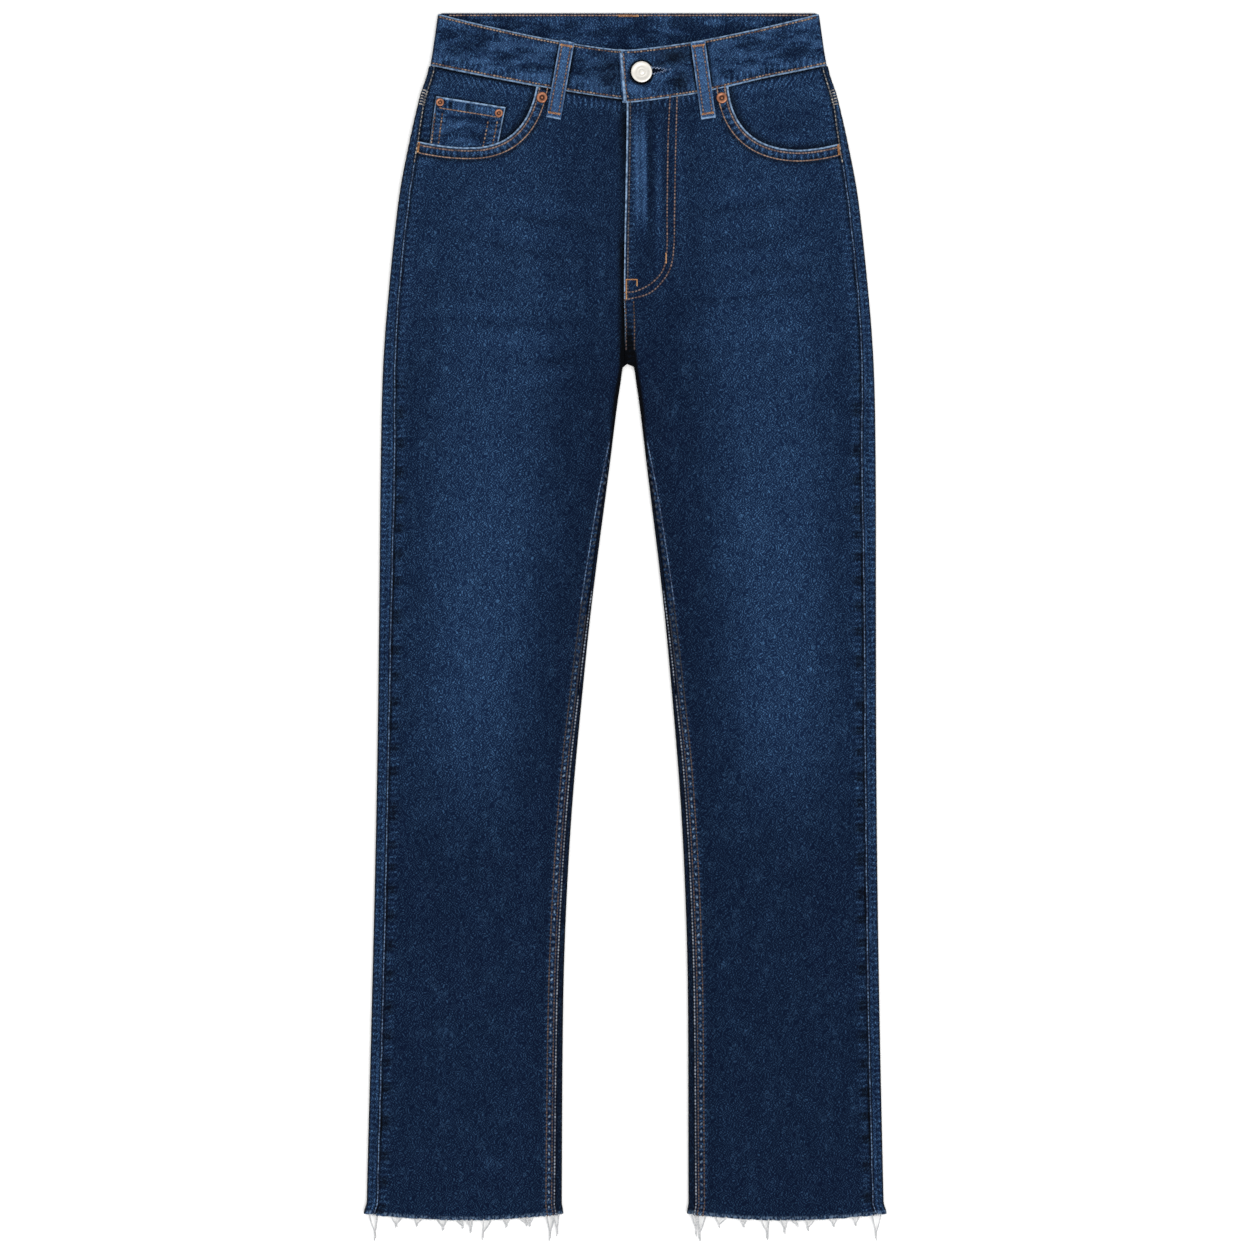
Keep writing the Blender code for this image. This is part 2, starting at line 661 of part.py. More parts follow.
def pocket_facing(side, name):
    """The piece that shows through the pocket mouth, sewn to the waist and the outseam behind the front."""
    columns, rows = 9, 6

    def point(column, row):
        low = mix(BAND_SIDE_DEPTH + 0.001, FACING_DEPTH, 1 - row / rows)
        outer = half_width(low) - max(read(OUTER, "seam_inset", low), outer_radius(low)) - GAP
        out = mix(FACING_INNER, outer, column / columns)
        top = front_band_seam(out) + GAP
        down = mix(top, FACING_DEPTH, 1 - row / rows)
        return place(side, out, down, front_height(side, out, down) - FACING_DROP[side])

    return add_wall(add_sheet(name, columns, rows, point, side == RIGHT, denim), WALL)


def coin_pocket():
    columns, rows = 4, 4

    def point(column, row):
        low = 1 - row / rows
        inner = [mix(a, b, low) for a, b in zip(COIN_TOP_IN, COIN_LOW_IN)]
        outer = [mix(a, b, low) for a, b in zip(COIN_TOP_OUT, COIN_LOW_OUT)]
        out, down = (mix(a, b, column / columns) for a, b in zip(inner, outer))
        return place(RIGHT, out, down, front_height(RIGHT, out, down) - COIN_DROP)

    return add_wall(add_sheet("coin_pocket", columns, rows, point, True, denim_worn), WALL)


# ---- Belt loops and hardware -------------------------------------------------------------------------


def loop_base(side, out, down):
    """The top of what a belt loop lies on: the waistband, and the front below its seam."""
    on_band = 1 - smooth_step(0.0, 0.003, down - front_band_seam(out))
    return mix(front_height(side, out, down), band_height(side, out, down), on_band)


def belt_loop(side, name, top, low):
    rows, columns = 10, 2
    direction = Vector((low[0] - top[0], low[1] - top[1])).normalized()
    across = Vector((direction.y, -direction.x))

    def point(column, row):
        middle = Vector(top).lerp(Vector(low), 1 - row / rows)
        out, down = middle + across * LOOP_WIDTH * (column / columns - 0.5)
        return place(side, out, down, loop_base(side, out, down) + GAP + LOOP_WALL)

    return add_wall(add_sheet(name, columns, rows, point, side == RIGHT, denim_worn), LOOP_WALL)


def shank_button():
    """A turned metal button: a shank on the overlap, a dished cap with a rim and a raised centre."""
    radius = BUTTON_RADIUS
    seat = band_height(LEFT, BUTTON_OUT, BUTTON_DOWN) + GAP
    shank, cap = 0.0009, 0.0017
    profile = (
        (0.0, shank + cap),
        (0.22 * radius, shank + cap),
        (0.30 * radius, shank + cap - 0.0003),
        (0.70 * radius, shank + cap - 0.0002),
        (0.80 * radius, shank + cap + 0.0001),
        (0.93 * radius, shank + cap),
        (radius, shank + cap - 0.0006),
        (radius, shank + 0.0004),
        (0.90 * radius, shank),
        (0.42 * radius, shank),
        (0.42 * radius, 0.0),
        (0.0, 0.0),
    )
    centre = place(LEFT, BUTTON_OUT, BUTTON_DOWN, seat)
    return turned("waist_button", profile, 24, centre, hardware, nickel)


def rivet(name, side, out, down, radius, seat):
    """A domed copper ring with a burr in the middle."""
    profile = (
        (0.0, 0.0008),
        (0.16 * radius, 0.0008),
        (0.30 * radius, 0.0004),
        (0.55 * radius, 0.0005),
        (0.75 * radius, 0.0010),
        (0.92 * radius, 0.0008),
        (radius, 0.0003),
        (radius, 0.0),
        (0.0, 0.0),
    )
    return turned(name, profile, 12, place(side, out, down, seat), hardware, copper)


# ---- Frayed hems -------------------------------------------------------------------------------------


def hem_frame(side, share, layer):
    """(out, down, height) of the strip's top edge along a hem: share is 0 at the inseam corner."""
    inner = half_gap(SIDE_HEM) + inner_radius(SIDE_HEM)
    outer = half_width(SIDE_HEM) - outer_radius(SIDE_HEM)
    out = mix(inner, outer, share)
    if layer == "back":
        return out, SIDE_HEM + GAP, WALL
    down = front_down(out, SIDE_HEM) + GAP
    return out, down, front_height(side, out, SIDE_HEM) - (WALL - STRIP_WALL) / 2


def back_locks(side):
    """Short, even locks for the hem that lies underneath."""
    step = 1 / BACK_LOCK_COUNT
    return tuple(
        Lock((i + 0.5 + 0.12 * side) * step, 0.0044, 0.0006 * (-1) ** i, BACK_LOCK_LENGTH)
        for i in range(BACK_LOCK_COUNT)
    )


def fringe(side, name, layer, locks):
    """A narrow strip just past the hem, with each strand drawn out of its free edge."""
    inner, outer = hem_frame(side, 0, layer)[0], hem_frame(side, 1, layer)[0]
    strands = []
    for lock in locks:
        centre = mix(inner, outer, lock.at)
        for hand in (-1, 1):
            root = centre + hand * lock.spread / 2
            tip = centre + lock.lean + hand * STRAND_WIDTH * 0.75
            length = lock.length * (1.0 if hand == 1 else 0.88)
            strands.append((root, tip, length))
    strands.sort()
    stations = [inner]
    for i, (root, tip, length) in enumerate(strands):
        root = max(root, stations[-1] + 0.75 * STRAND_WIDTH)
        strands[i] = (root, tip, length)
        stations += [root - STRAND_WIDTH / 2, root + STRAND_WIDTH / 2]
    stations.append(outer)

    strip = bmesh.new()
    bmesh.ops.create_grid(strip, x_segments=len(stations) - 1, y_segments=1, size=1)
    for vertex in strip.verts:
        station = stations[round((vertex.co.x + 1) / 2 * (len(stations) - 1))]
        _, down, height = hem_frame(side, (station - inner) / (outer - inner), layer)
        past = 0.0 if vertex.co.y > 0 else STRIP_WIDTH
        vertex.co = place(side, station, down + past, height)
    if side == RIGHT:
        bmesh.ops.reverse_faces(strip, faces=strip.faces)
    bmesh.ops.solidify(strip, geom=strip.faces[:], thickness=STRIP_WALL)
    strip.normal_update()
    for root, tip, length in strands:
        draw_strand(strip, side, root, tip, length)
    mesh = bpy.data.meshes.new(name)
    strip.to_mesh(mesh)
    strip.free()
    return object_of(mesh, name, cloth, fray)


def draw_strand(strip, side, root, tip, length):
    """Extrudes the strip's edge face at the root into a tapering strand that sinks towards the surface."""
    strip.faces.ensure_lookup_table()
    near = min(
        (face for face in strip.faces if abs(face.normal.y + 1) < 0.2),
        key=lambda face: abs(face.calc_center_median().x - place(side, root, SIDE_HEM, 0).x),
    )
    start = near.calc_center_median()
    rest = STRAND_CLEAR + STRAND_WIDTH / 4
    over = min(start.z, OVER_BACK_FRAY)
    stages = ((0.35, 0.85, 0.25), (0.72, 0.65, 0.85), (1.0, 0.35, 1.0))
    before = start.copy()
    size = 1.0
    for along, width, lean in stages:
        made = bmesh.ops.extrude_face_region(strip, geom=[near])["geom"]
        old, near = near, next(item for item in made if isinstance(item, bmesh.types.BMFace))
        strip.faces.remove(old)
        down = TOTAL_LENGTH / 2 - start.y + length * along
        low = mix(over, min(over, rest), smooth_step(BACK_FRAY_END, BACK_FRAY_END + 0.006, down))
        target = place(side, mix(root, tip, lean), down, mix(start.z, low, min(1.0, 1.15 * along)))
        for vertex in near.verts:
            vertex.co = target + (vertex.co - before) * (width / size)
        before, size = target, width


# ---- Assembly ----------------------------------------------------------------------------------------

clear_scene()
cloth = new_collection("straight_jeans")
hardware = new_collection("straight_jeans_hardware")
cutters = new_collection("cutters")
denim = new_material("denim", DENIM, 0.85, 0.0)
denim_worn = new_material("denim_worn", DENIM_WORN, 0.85, 0.0)
fray = new_material("fray_cotton", FRAY, 0.9, 0.0)
copper = new_material("copper", COPPER, 0.35, 1.0)
nickel = new_material("nickel", NICKEL, 0.25, 1.0)

for leg, word in ((RIGHT, "right"), (LEFT, "left")):
    cut_mouth(front_panel(leg, "front_" + word), leg)
    back_panel(leg, "back_" + word)
    yoke(leg, "yoke_" + word)
    pocket_facing(leg, "pocket_facing_" + word)
    fringe(leg, "front_fray_" + word, "front", LOCKS[leg])
    fringe(leg, "back_fray_" + word, "back", back_locks(leg))
    rivet_out, rivet_down = POCKET_RIVETS[leg]
    rivet_seat = front_height(leg, rivet_out, rivet_down) + GAP
    rivet("pocket_rivet_" + word, leg, rivet_out, rivet_down, RIVET_RADIUS, rivet_seat)
waistband()
coin_pocket()
for word, (leg, loop_top, loop_low) in LOOP_ENDS.items():
    belt_loop(leg, "belt_loop_" + word, loop_top, loop_low)
shank_button()
for word, (rivet_out, rivet_down) in COIN_RIVETS.items():
    rivet_seat = front_height(RIGHT, rivet_out, rivet_down) - COIN_DROP + GAP
    rivet("coin_rivet_" + word, RIGHT, rivet_out, rivet_down, COIN_RIVET_RADIUS, rivet_seat)
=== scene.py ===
# %% [markdown]
# # Straight-leg jeans, laid flat on a pale table
#
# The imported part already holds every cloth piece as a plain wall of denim. Here each piece is made again on
# the same section, finely enough for puckers, folded edges and creases. Stitches, bar tacks and frayed
# threads come after it from Geometry Nodes, and last the denim itself, which is a procedural material.
#
# "down" is the distance below the back waist edge, "out" the distance from the centre line towards a leg's
# outseam, and side is -1 on the wearer's right and 1 on the left. All lengths are metres.

import math
from collections import namedtuple

import bpy
import numpy as np
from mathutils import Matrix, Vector


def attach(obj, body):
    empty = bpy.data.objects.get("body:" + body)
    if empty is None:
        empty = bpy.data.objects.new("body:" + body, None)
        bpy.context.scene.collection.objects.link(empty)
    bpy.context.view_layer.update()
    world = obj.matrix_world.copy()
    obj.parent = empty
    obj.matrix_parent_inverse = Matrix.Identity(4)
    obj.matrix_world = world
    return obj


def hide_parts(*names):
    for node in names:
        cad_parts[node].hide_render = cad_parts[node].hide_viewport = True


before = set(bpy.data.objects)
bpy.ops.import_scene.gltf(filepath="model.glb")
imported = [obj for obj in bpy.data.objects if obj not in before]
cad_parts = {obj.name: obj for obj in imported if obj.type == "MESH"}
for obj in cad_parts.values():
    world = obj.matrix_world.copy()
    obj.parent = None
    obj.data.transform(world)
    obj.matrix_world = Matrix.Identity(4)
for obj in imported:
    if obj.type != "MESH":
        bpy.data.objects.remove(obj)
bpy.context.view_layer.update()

# %% [markdown]
# ## The garment's measures
#
# These are the cutting and folding measures of the part's source. Two differ a little, as the photograph
# asks at this fineness: the outseam lies up to 3 mm nearer its fold, and the pocket mouths lie less than 1
# mm higher. A smooth curve through each short table gives a measure at any height, so that a fine mesh and
# the coarse solid follow the same shape. The whiskers are the worn creases across the hips.

# %% Measures shared with the solids
RIGHT, LEFT = -1, 1
TOTAL_LENGTH = 1.0701
WALL, GAP = 0.0012, 0.0003
LAYER = WALL + GAP

Outer = namedtuple("Outer", "down half_width fold_height rest_height seam_inset")
OUTER = (
    Outer(0.0000, 0.1658, 0.0060, 0.0060, 0.0020),
    Outer(0.0475, 0.1732, 0.0060, 0.0060, 0.0022),
    Outer(0.0720, 0.1808, 0.0060, 0.0060, 0.0026),
    Outer(0.1190, 0.1915, 0.0060, 0.0060, 0.0060),
    Outer(0.1620, 0.1992, 0.0059, 0.0058, 0.0070),
    Outer(0.2490, 0.2085, 0.0055, 0.0050, 0.0072),
    Outer(0.3065, 0.2127, 0.0052, 0.0047, 0.0084),
    Outer(0.3885, 0.2145, 0.0052, 0.0050, 0.0101),
    Outer(0.5100, 0.2153, 0.0052, 0.0050, 0.0085),
    Outer(0.6840, 0.2168, 0.0052, 0.0043, 0.0076),
    Outer(0.8580, 0.2200, 0.0050, 0.0042, 0.0077),
    Outer(1.0440, 0.2244, 0.0048, 0.0040, 0.0074),
)
Inner = namedtuple("Inner", "down half_gap seam_wrap")
INNER = (
    Inner(0.3068, 0.0048, 0.0018),
    Inner(0.3360, 0.0096, 0.0045),
    Inner(0.3885, 0.0161, 0.0064),
    Inner(0.5100, 0.0313, 0.0076),
    Inner(0.5970, 0.0400, 0.0081),
    Inner(0.6840, 0.0474, 0.0086),
    Inner(0.7710, 0.0522, 0.0090),
    Inner(0.8580, 0.0547, 0.0094),
    Inner(1.0440, 0.0557, 0.0101),
)
CROTCH, SIDE_HEM = INNER[0].down, OUTER[-1].down
WAIST_SWAY, SWAY_FROM, HEM_SAG, SAG_FROM = 0.0029, 0.25, 0.0057, 0.90
HEM_FLARE, FLARE_LENGTH = 0.0024, 0.010
FOLD_REACH = 0.018
CENTRE_DIP, DIP_NEAR, DIP_FAR = 0.0016, 0.044, 0.073
DIP_FROM, DIP_FULL, DIP_FADES, DIP_ENDS = 0.076, 0.125, 0.20, 0.29

BAND_WALL, BAND_PROUD = 0.0026, 0.0004
BAND_DROP, BAND_SEAM_DROP, BAND_SIDE_DEPTH, BACK_BAND_DEPTH = 0.0315, 0.0300, 0.0448, 0.0442
UNDERLAP_OUT, OVERLAP_TOP_OUT, OVERLAP_SEAM_OUT = -0.022, -0.0066, -0.0030
UNDERLAP_SINK, OVERLAP_RISE, LAP_NEAR, LAP_FAR = 0.0009, 0.0020, 0.030, 0.058

FLY_LIFT, FLY_WIDTH, FLY_BEND, FLY_END, FLY_EASE = 0.0018, 0.040, 0.205, 0.250, 0.008
FLY_EDGE_TOP, FLY_EDGE_LOW, FLY_UNDER_EDGE = -0.0015, -0.0038, -0.0020
SEAM_SHIFT, EDGE_TAPER_FROM, EDGE_TAPER_TO = 0.0030, 0.246, 0.272
CROTCH_BAND, CROTCH_LIFT, CROTCH_EASE = 0.012, 0.0006, 0.0012
YOKE_TOP, YOKE_SIDE, YOKE_CENTRE = 0.0455, 0.0720, 0.1180
FELL_WIDTH, FELL_LIFT = 0.0098, 0.0008

MOUTH_CURVES = {
    RIGHT: (
        ((0.0795, 0.0600), (0.0835, 0.0860), (0.0955, 0.1150), (0.1340, 0.1165)),
        ((0.1340, 0.1165), (0.1500, 0.1172), (0.1680, 0.1146), (0.1830, 0.1112)),
    ),
    LEFT: (
        ((0.0865, 0.0600), (0.0880, 0.0880), (0.1000, 0.1175), (0.1460, 0.1190)),
        ((0.1460, 0.1190), (0.1600, 0.1190), (0.1720, 0.1165), (0.1845, 0.1132)),
    ),
}
MOUTH_EASE = {RIGHT: 0.0004, LEFT: 0.0007}
FACING_DROP = {RIGHT: 2 * LAYER, LEFT: LAYER}
FACING_INNER, FACING_DEPTH = 0.0735, 0.150
COIN_TOP_IN, COIN_TOP_OUT = (0.1070, 0.0810), (0.1675, 0.0714)
COIN_LOW_IN, COIN_LOW_OUT = (0.1175, 0.1330), (0.1755, 0.1330)
LOOP_WIDTH, LOOP_WALL = 0.0130, 0.0020
LOOP_ENDS = {RIGHT: ((0.0532, 0.0240), (0.0653, 0.0912)), LEFT: ((0.0602, 0.0240), (0.0696, 0.0914))}
BUTTON_RADIUS, BUTTON_OUT, BUTTON_DOWN = 0.0092, 0.0114, 0.0512
POCKET_RIVETS = {RIGHT: (0.0752, 0.0728), LEFT: (0.0811, 0.0732)}
COIN_RIVETS = ((0.1640, 0.0768), (0.1128, 0.0862))
SIDE_WORD = {RIGHT: "right", LEFT: "left"}

Crease = namedtuple("Crease", "side out down length width turn rise")
CREASES = (
    Crease(RIGHT, 0.120, 0.215, 0.120, 0.016, 78, -0.0007),
    Crease(RIGHT, 0.085, 0.262, 0.110, 0.014, 66, 0.0006),
    Crease(RIGHT, 0.070, 0.330, 0.100, 0.015, 54, -0.0007),
    Crease(RIGHT, 0.130, 0.470, 0.260, 0.030, 4, 0.0008),
    Crease(RIGHT, 0.150, 0.660, 0.110, 0.018, 74, -0.0006),
    Crease(RIGHT, 0.120, 0.890, 0.240, 0.024, -3, 0.0006),
    Crease(LEFT, 0.115, 0.205, 0.125, 0.015, 74, -0.0007),
    Crease(LEFT, 0.095, 0.275, 0.115, 0.015, 62, 0.0006),
    Crease(LEFT, 0.065, 0.345, 0.095, 0.014, 50, -0.0007),
    Crease(LEFT, 0.125, 0.500, 0.270, 0.028, -5, 0.0008),
    Crease(LEFT, 0.120, 0.690, 0.120, 0.018, 80, -0.0006),
    Crease(LEFT, 0.140, 0.910, 0.220, 0.026, 4, 0.0006),
)
CREASE_FADE, CREASES_FROM, CREASES_FULL = 0.030, 0.14, 0.18

Whisker = namedtuple("Whisker", "side out down length width slope wash")
WHISKER_ROWS = {
    RIGHT: (
        (0.0857, 0.164, 0.095, 0.0070, 0.20, 0.34), (0.0805, 0.178, 0.100, 0.0032, 0.15, -0.32),
        (0.0927, 0.189, 0.115, 0.0062, 0.24, 0.26), (0.0988, 0.203, 0.115, 0.0036, 0.19, -0.30),
        (0.1440, 0.240, 0.040, 0.0035, 0.40, -0.26), (0.0657, 0.244, 0.065, 0.0060, 0.10, 0.26),
        (0.1275, 0.257, 0.055, 0.0055, 0.06, 0.22), (0.0988, 0.269, 0.115, 0.0036, 0.02, -0.26),
        (0.0988, 0.283, 0.120, 0.0075, 0.02, 0.28), (0.0680, 0.301, 0.065, 0.0035, 0.00, -0.28),
        (0.0718, 0.314, 0.065, 0.0060, -0.06, 0.24),
    ),
    LEFT: (
        (0.1075, 0.152, 0.095, 0.0080, 0.12, 0.28), (0.1057, 0.166, 0.088, 0.0030, 0.11, -0.30),
        (0.1118, 0.180, 0.095, 0.0055, 0.13, 0.20), (0.1118, 0.199, 0.080, 0.0034, 0.08, -0.24),
        (0.1170, 0.211, 0.083, 0.0048, 0.08, 0.20), (0.1144, 0.223, 0.080, 0.0030, 0.07, -0.26),
        (0.1205, 0.233, 0.083, 0.0048, 0.10, 0.20), (0.1057, 0.245, 0.105, 0.0032, 0.09, -0.28),
        (0.1074, 0.255, 0.108, 0.0060, 0.04, 0.20), (0.1057, 0.277, 0.105, 0.0080, 0.08, 0.26),
    ),
}
WHISKERS = [Whisker(side, *row) for side, table in WHISKER_ROWS.items() for row in table]


# %% [markdown]
# ## Smooth steps, tables and curves
#
# Every change below is a smooth step or a soft peak, and small unevenness comes from seeded random values,
# so each run gives the same cloth.

# %% Smooth steps, tables and curves
def smooth_step(start, end, value):
    t = np.clip((value - start) / (end - start), 0.0, 1.0)
    return t * t * (3 - 2 * t)


def fading(start, end, value):
    """1 up to start and 0 past end, with a smooth step between."""
    return 1 - smooth_step(start, end, value)


def peak(value, centre, width):
    """1 where the value is at the centre, fading out past this width on both sides."""
    return np.exp(-(((value - centre) / width) ** 2))


def mix(a, b, share):
    return a + (b - a) * share


def read(table, name, down):
    """The named column at these distances down, on a smooth curve through the table's rows."""
    x = np.array([row.down for row in table])
    y = np.array([getattr(row, name) for row in table])
    before, after = np.maximum(np.arange(len(x)) - 1, 0), np.minimum(np.arange(len(x)) + 1, len(x) - 1)
    slope = (y[after] - y[before]) / (x[after] - x[before])
    down = np.clip(down, x[0], x[-1])
    i = np.clip(np.searchsorted(x, down) - 1, 0, len(x) - 2)
    span = x[i + 1] - x[i]
    t = (down - x[i]) / span
    start = y[i] * (1 + 2 * t) * (1 - t) ** 2 + slope[i] * span * t * (1 - t) ** 2
    return start + y[i + 1] * t * t * (3 - 2 * t) + slope[i + 1] * span * t * t * (t - 1)


def bezier(points, t):
    """Points of the cubic curve with these four control points, one row for each t."""
    t = np.asarray(t)[:, None]
    weights = ((1 - t) ** 3, 3 * t * (1 - t) ** 2, 3 * t * t * (1 - t), t**3)
    return sum(weight * np.array(point) for weight, point in zip(weights, points))


def wobble(run, feature, seed):
    """Smooth random values from -1 to 1 along a run, with bumps about this long."""
    steps = np.random.default_rng(seed).uniform(-1, 1, 4096)
    position = np.asarray(run) / feature + 1000
    i = np.floor(position).astype(int) % 4095
    share = smooth_step(0.0, 1.0, position - np.floor(position))
    return mix(steps[i], steps[i + 1], share)


# %% [markdown]
# ## The section round a leg
#
# Across a leg the front cloth is a low dome that rolls round a fold at each side, over a back that lies
# flat on the table. The heights and the paths round the folds are given here once, for all pieces.

# %% The section round a leg
def half_width(down):
    flare = HEM_FLARE * smooth_step(SIDE_HEM - FLARE_LENGTH, SIDE_HEM, down)
    return read(OUTER, "half_width", down) + flare


def half_gap(down):
    flare = HEM_FLARE * smooth_step(SIDE_HEM - FLARE_LENGTH, SIDE_HEM, down)
    return read(INNER, "half_gap", down) - 0.6 * flare


def outer_radius(down):
    return read(OUTER, "fold_height", down) / 2


def inner_radius(down):
    share = smooth_step(CROTCH - 0.01, CROTCH + 0.03, down)
    return mix(read(OUTER, "rest_height", down), read(OUTER, "fold_height", down), share) / 2


def crease_height(side, out, down):
    total = 0.0
    for crease in CREASES:
        if crease.side == side:
            turn = math.radians(crease.turn)
            across, along = out - crease.out, down - crease.down
            u = along * math.cos(turn) + across * math.sin(turn)
            v = across * math.cos(turn) - along * math.sin(turn)
            total = total + crease.rise * np.exp(-((u / (crease.length / 2)) ** 2) - (v / crease.width) ** 2)
    return total


def fly_reach(down):
    share = np.clip((down - FLY_BEND) / (FLY_END - FLY_BEND), 0.0, 1.0)
    return np.maximum(CROTCH_BAND, FLY_WIDTH * np.sqrt(1 - share * share))


def fly_lift(side, out, down):
    if side != LEFT:
        return 0.0
    reach = fly_reach(down)
    lift = mix(FLY_LIFT, CROTCH_LIFT, smooth_step(EDGE_TAPER_TO, EDGE_TAPER_TO + 0.020, down))
    return np.where(down > CROTCH, 0.0, lift * fading(reach, reach + FLY_EASE, out))


def centre_dip(out, down):
    near = fading(DIP_NEAR, DIP_FAR, out)
    return CENTRE_DIP * near * smooth_step(DIP_FROM, DIP_FULL, down) * fading(DIP_FADES, DIP_ENDS, down)


def front_height(side, out, down):
    """The top of the front cloth above the table."""
    rest = read(OUTER, "rest_height", down) - centre_dip(out, down)
    edge = half_width(down) - outer_radius(down) - out
    height = rest + (2 * outer_radius(down) - rest) * np.exp(-((np.maximum(edge, 0.0) / FOLD_REACH) ** 2))
    inner = out - half_gap(down) - inner_radius(down)
    lift = (2 * inner_radius(down) - rest) * np.exp(-((np.maximum(inner, 0.0) / FOLD_REACH) ** 2))
    height = height + np.where(down > CROTCH, lift, 0.0)
    nearest = np.where(down > CROTCH, np.minimum(edge, inner), edge)
    fade = smooth_step(0.0, CREASE_FADE, nearest) * smooth_step(CREASES_FROM, CREASES_FULL, down)
    return height + crease_height(side, out, down) * fade + fly_lift(side, out, down)


def fold_path(side, down, arc, lift, foot, radius, outward):
    """(out, height) this far round a side fold, from the table up and over. outward is 1 at the outseam."""
    over = arc - math.pi * radius
    turn = np.clip(arc / radius, 0.0, math.pi)
    out = foot + outward * (radius + lift) * np.sin(turn) - outward * np.maximum(over, 0.0)
    out = out - outward * np.maximum(-arc, 0.0)
    round_height = radius - (radius + lift) * np.cos(turn)
    return out, np.where(over > 0, front_height(side, out, down) + lift, round_height)


def outer_path(side, down, arc, lift=0.0):
    radius = outer_radius(down)
    return fold_path(side, down, arc, lift, half_width(down) - radius, radius, 1)


def inner_path(side, down, arc, lift=0.0):
    radius = inner_radius(down)
    return fold_path(side, down, arc, lift, half_gap(down) + radius, radius, -1)


def outseam_arc(down):
    radius, inset = outer_radius(down), read(OUTER, "seam_inset", down)
    on_curl = radius * (math.pi - np.arcsin(np.clip(1 - inset / radius, -1, 1)))
    return np.where(inset >= radius, math.pi * radius + inset - radius, on_curl)


def place(side, out, down, height):
    """World points from the garment's own measures, as an array that ends in x, y and z."""
    out, down, height = np.broadcast_arrays(out, down, height)
    sway = WAIST_SWAY * fading(SWAY_FROM, SIDE_HEM, down)
    return np.stack([side * out + sway, TOTAL_LENGTH / 2 - down, height], axis=-1)


# %% [markdown]
# ## Seams and edges in plan
#
# These are the lines where pieces meet, seen from above: the fly edge, the waist and yoke seams, the hems
# and the pocket mouths. Distances to them place the puckers and the wear.

# %% Seams and edges in plan
def fly_edge(side, down):
    taper = smooth_step(EDGE_TAPER_FROM, EDGE_TAPER_TO, down)
    if side == LEFT:
        return mix(mix(FLY_EDGE_TOP, FLY_EDGE_LOW, smooth_step(0.075, 0.24, down)), -SEAM_SHIFT, taper)
    return mix(FLY_UNDER_EDGE, SEAM_SHIFT + GAP, taper)


def front_band_seam(out):
    share = np.minimum(1.0, np.abs(out) / half_width(BAND_SIDE_DEPTH))
    return BAND_SIDE_DEPTH + BAND_SEAM_DROP * (1 - share**1.2)


def front_band_top(out):
    share = np.minimum(1.0, np.abs(out) / half_width(0.0))
    return BAND_DROP * (1 - share**1.35)


def yoke_seam(out):
    return mix(YOKE_CENTRE, YOKE_SIDE, np.minimum(1.0, np.abs(out) / half_width(YOKE_SIDE)))


def hem_sag(out):
    middle = (half_width(SIDE_HEM) + half_gap(SIDE_HEM)) / 2
    half = (half_width(SIDE_HEM) - half_gap(SIDE_HEM)) / 2
    return HEM_SAG * (1 - np.minimum(1.0, np.abs((out - middle) / half)) ** 2)


def hung(out, down):
    """Distances down with the hem's sag, which grows towards the hem."""
    return down + hem_sag(out) * smooth_step(SAG_FROM, SIDE_HEM, down)


def from_inner_edge(out, down):
    """How far a point lies from the centre line, or from the gap below the crotch."""
    return out - half_gap(down) * smooth_step(CROTCH - 0.035, CROTCH, down)


def front_outer_edge(down):
    return half_width(down) - np.maximum(read(OUTER, "seam_inset", down), outer_radius(down)) - GAP


def mouth_line(side):
    """The pocket mouth as fine points of (out, down), carried on straight past the outseam."""
    near, far = (bezier(curve, np.linspace(0, 1, 60)) for curve in MOUTH_CURVES[side])
    last = far[-1] + (far[-1] - far[-2]) * 40
    return np.concatenate([near, far[1:], last[None]]) - (0.0, MOUTH_EASE[side])


def beside(line, offset):
    """The line moved sideways by this much, to the right of its direction of travel."""
    direction = np.gradient(line, axis=0)
    direction /= np.linalg.norm(direction, axis=1, keepdims=True)
    return line + offset * np.stack([direction[:, 1], -direction[:, 0]], axis=1)


def distance_to(line, out, down):
    """(distance, run along the line) from points in plan to a line of points."""
    lengths = np.linalg.norm(np.diff(line, axis=0), axis=1)
    runs = np.concatenate([[0], np.cumsum(lengths)])
    points = np.stack([out.ravel(), down.ravel()], axis=1)
    best, run = np.full(len(points), 1e9), np.zeros(len(points))
    for start, end, length, start_run in zip(line[:-1], line[1:], lengths, runs):
        along = np.clip((points - start) @ (end - start) / length**2, 0, 1)
        away = np.linalg.norm(points - start - along[:, None] * (end - start), axis=1)
        nearer = away < best
        best, run = np.where(nearer, away, best), np.where(nearer, start_run + along * length, run)
    return best.reshape(out.shape), run.reshape(out.shape)


# %% [markdown]
# ## Cloth from a grid of points
#
# A garment piece is cut flat, so a grid of points keeps its grain: rows run across the leg and columns
# along it. Each point also carries seven numbers for the material: how far it lies from the nearest seam or
# folded edge ("edge"), how far along that seam ("run"), how strongly the seam puckers ("rope"), how pale
# the edge has rubbed ("pale"), how far it lies above a raw hem ("hem"), how far the dye has washed out
# ("fade"), and how far the colour is darkened ("shade"), mostly painted shade in seams, folds and hollows.
# Denim wears light on its edges and ridges, so the same distances shape the mesh and colour it.

# %% From points to a wall of cloth
Seam = namedtuple("Seam", "distance run rope pale")
FAR = 0.2


def nearest_seam(seams, shape):
    """The marks of the nearest of several seams at each point."""
    marks = {"edge": np.full(shape, FAR)} | {label: np.zeros(shape) for label in ("run", "rope", "pale")}
    for seam in seams:
        values = np.broadcast_arrays(*seam, np.zeros(shape))[:4]
        nearer = values[0] < marks["edge"]
        marks = {label: np.where(nearer, value, marks[label]) for label, value in zip(marks, values)}
    return marks


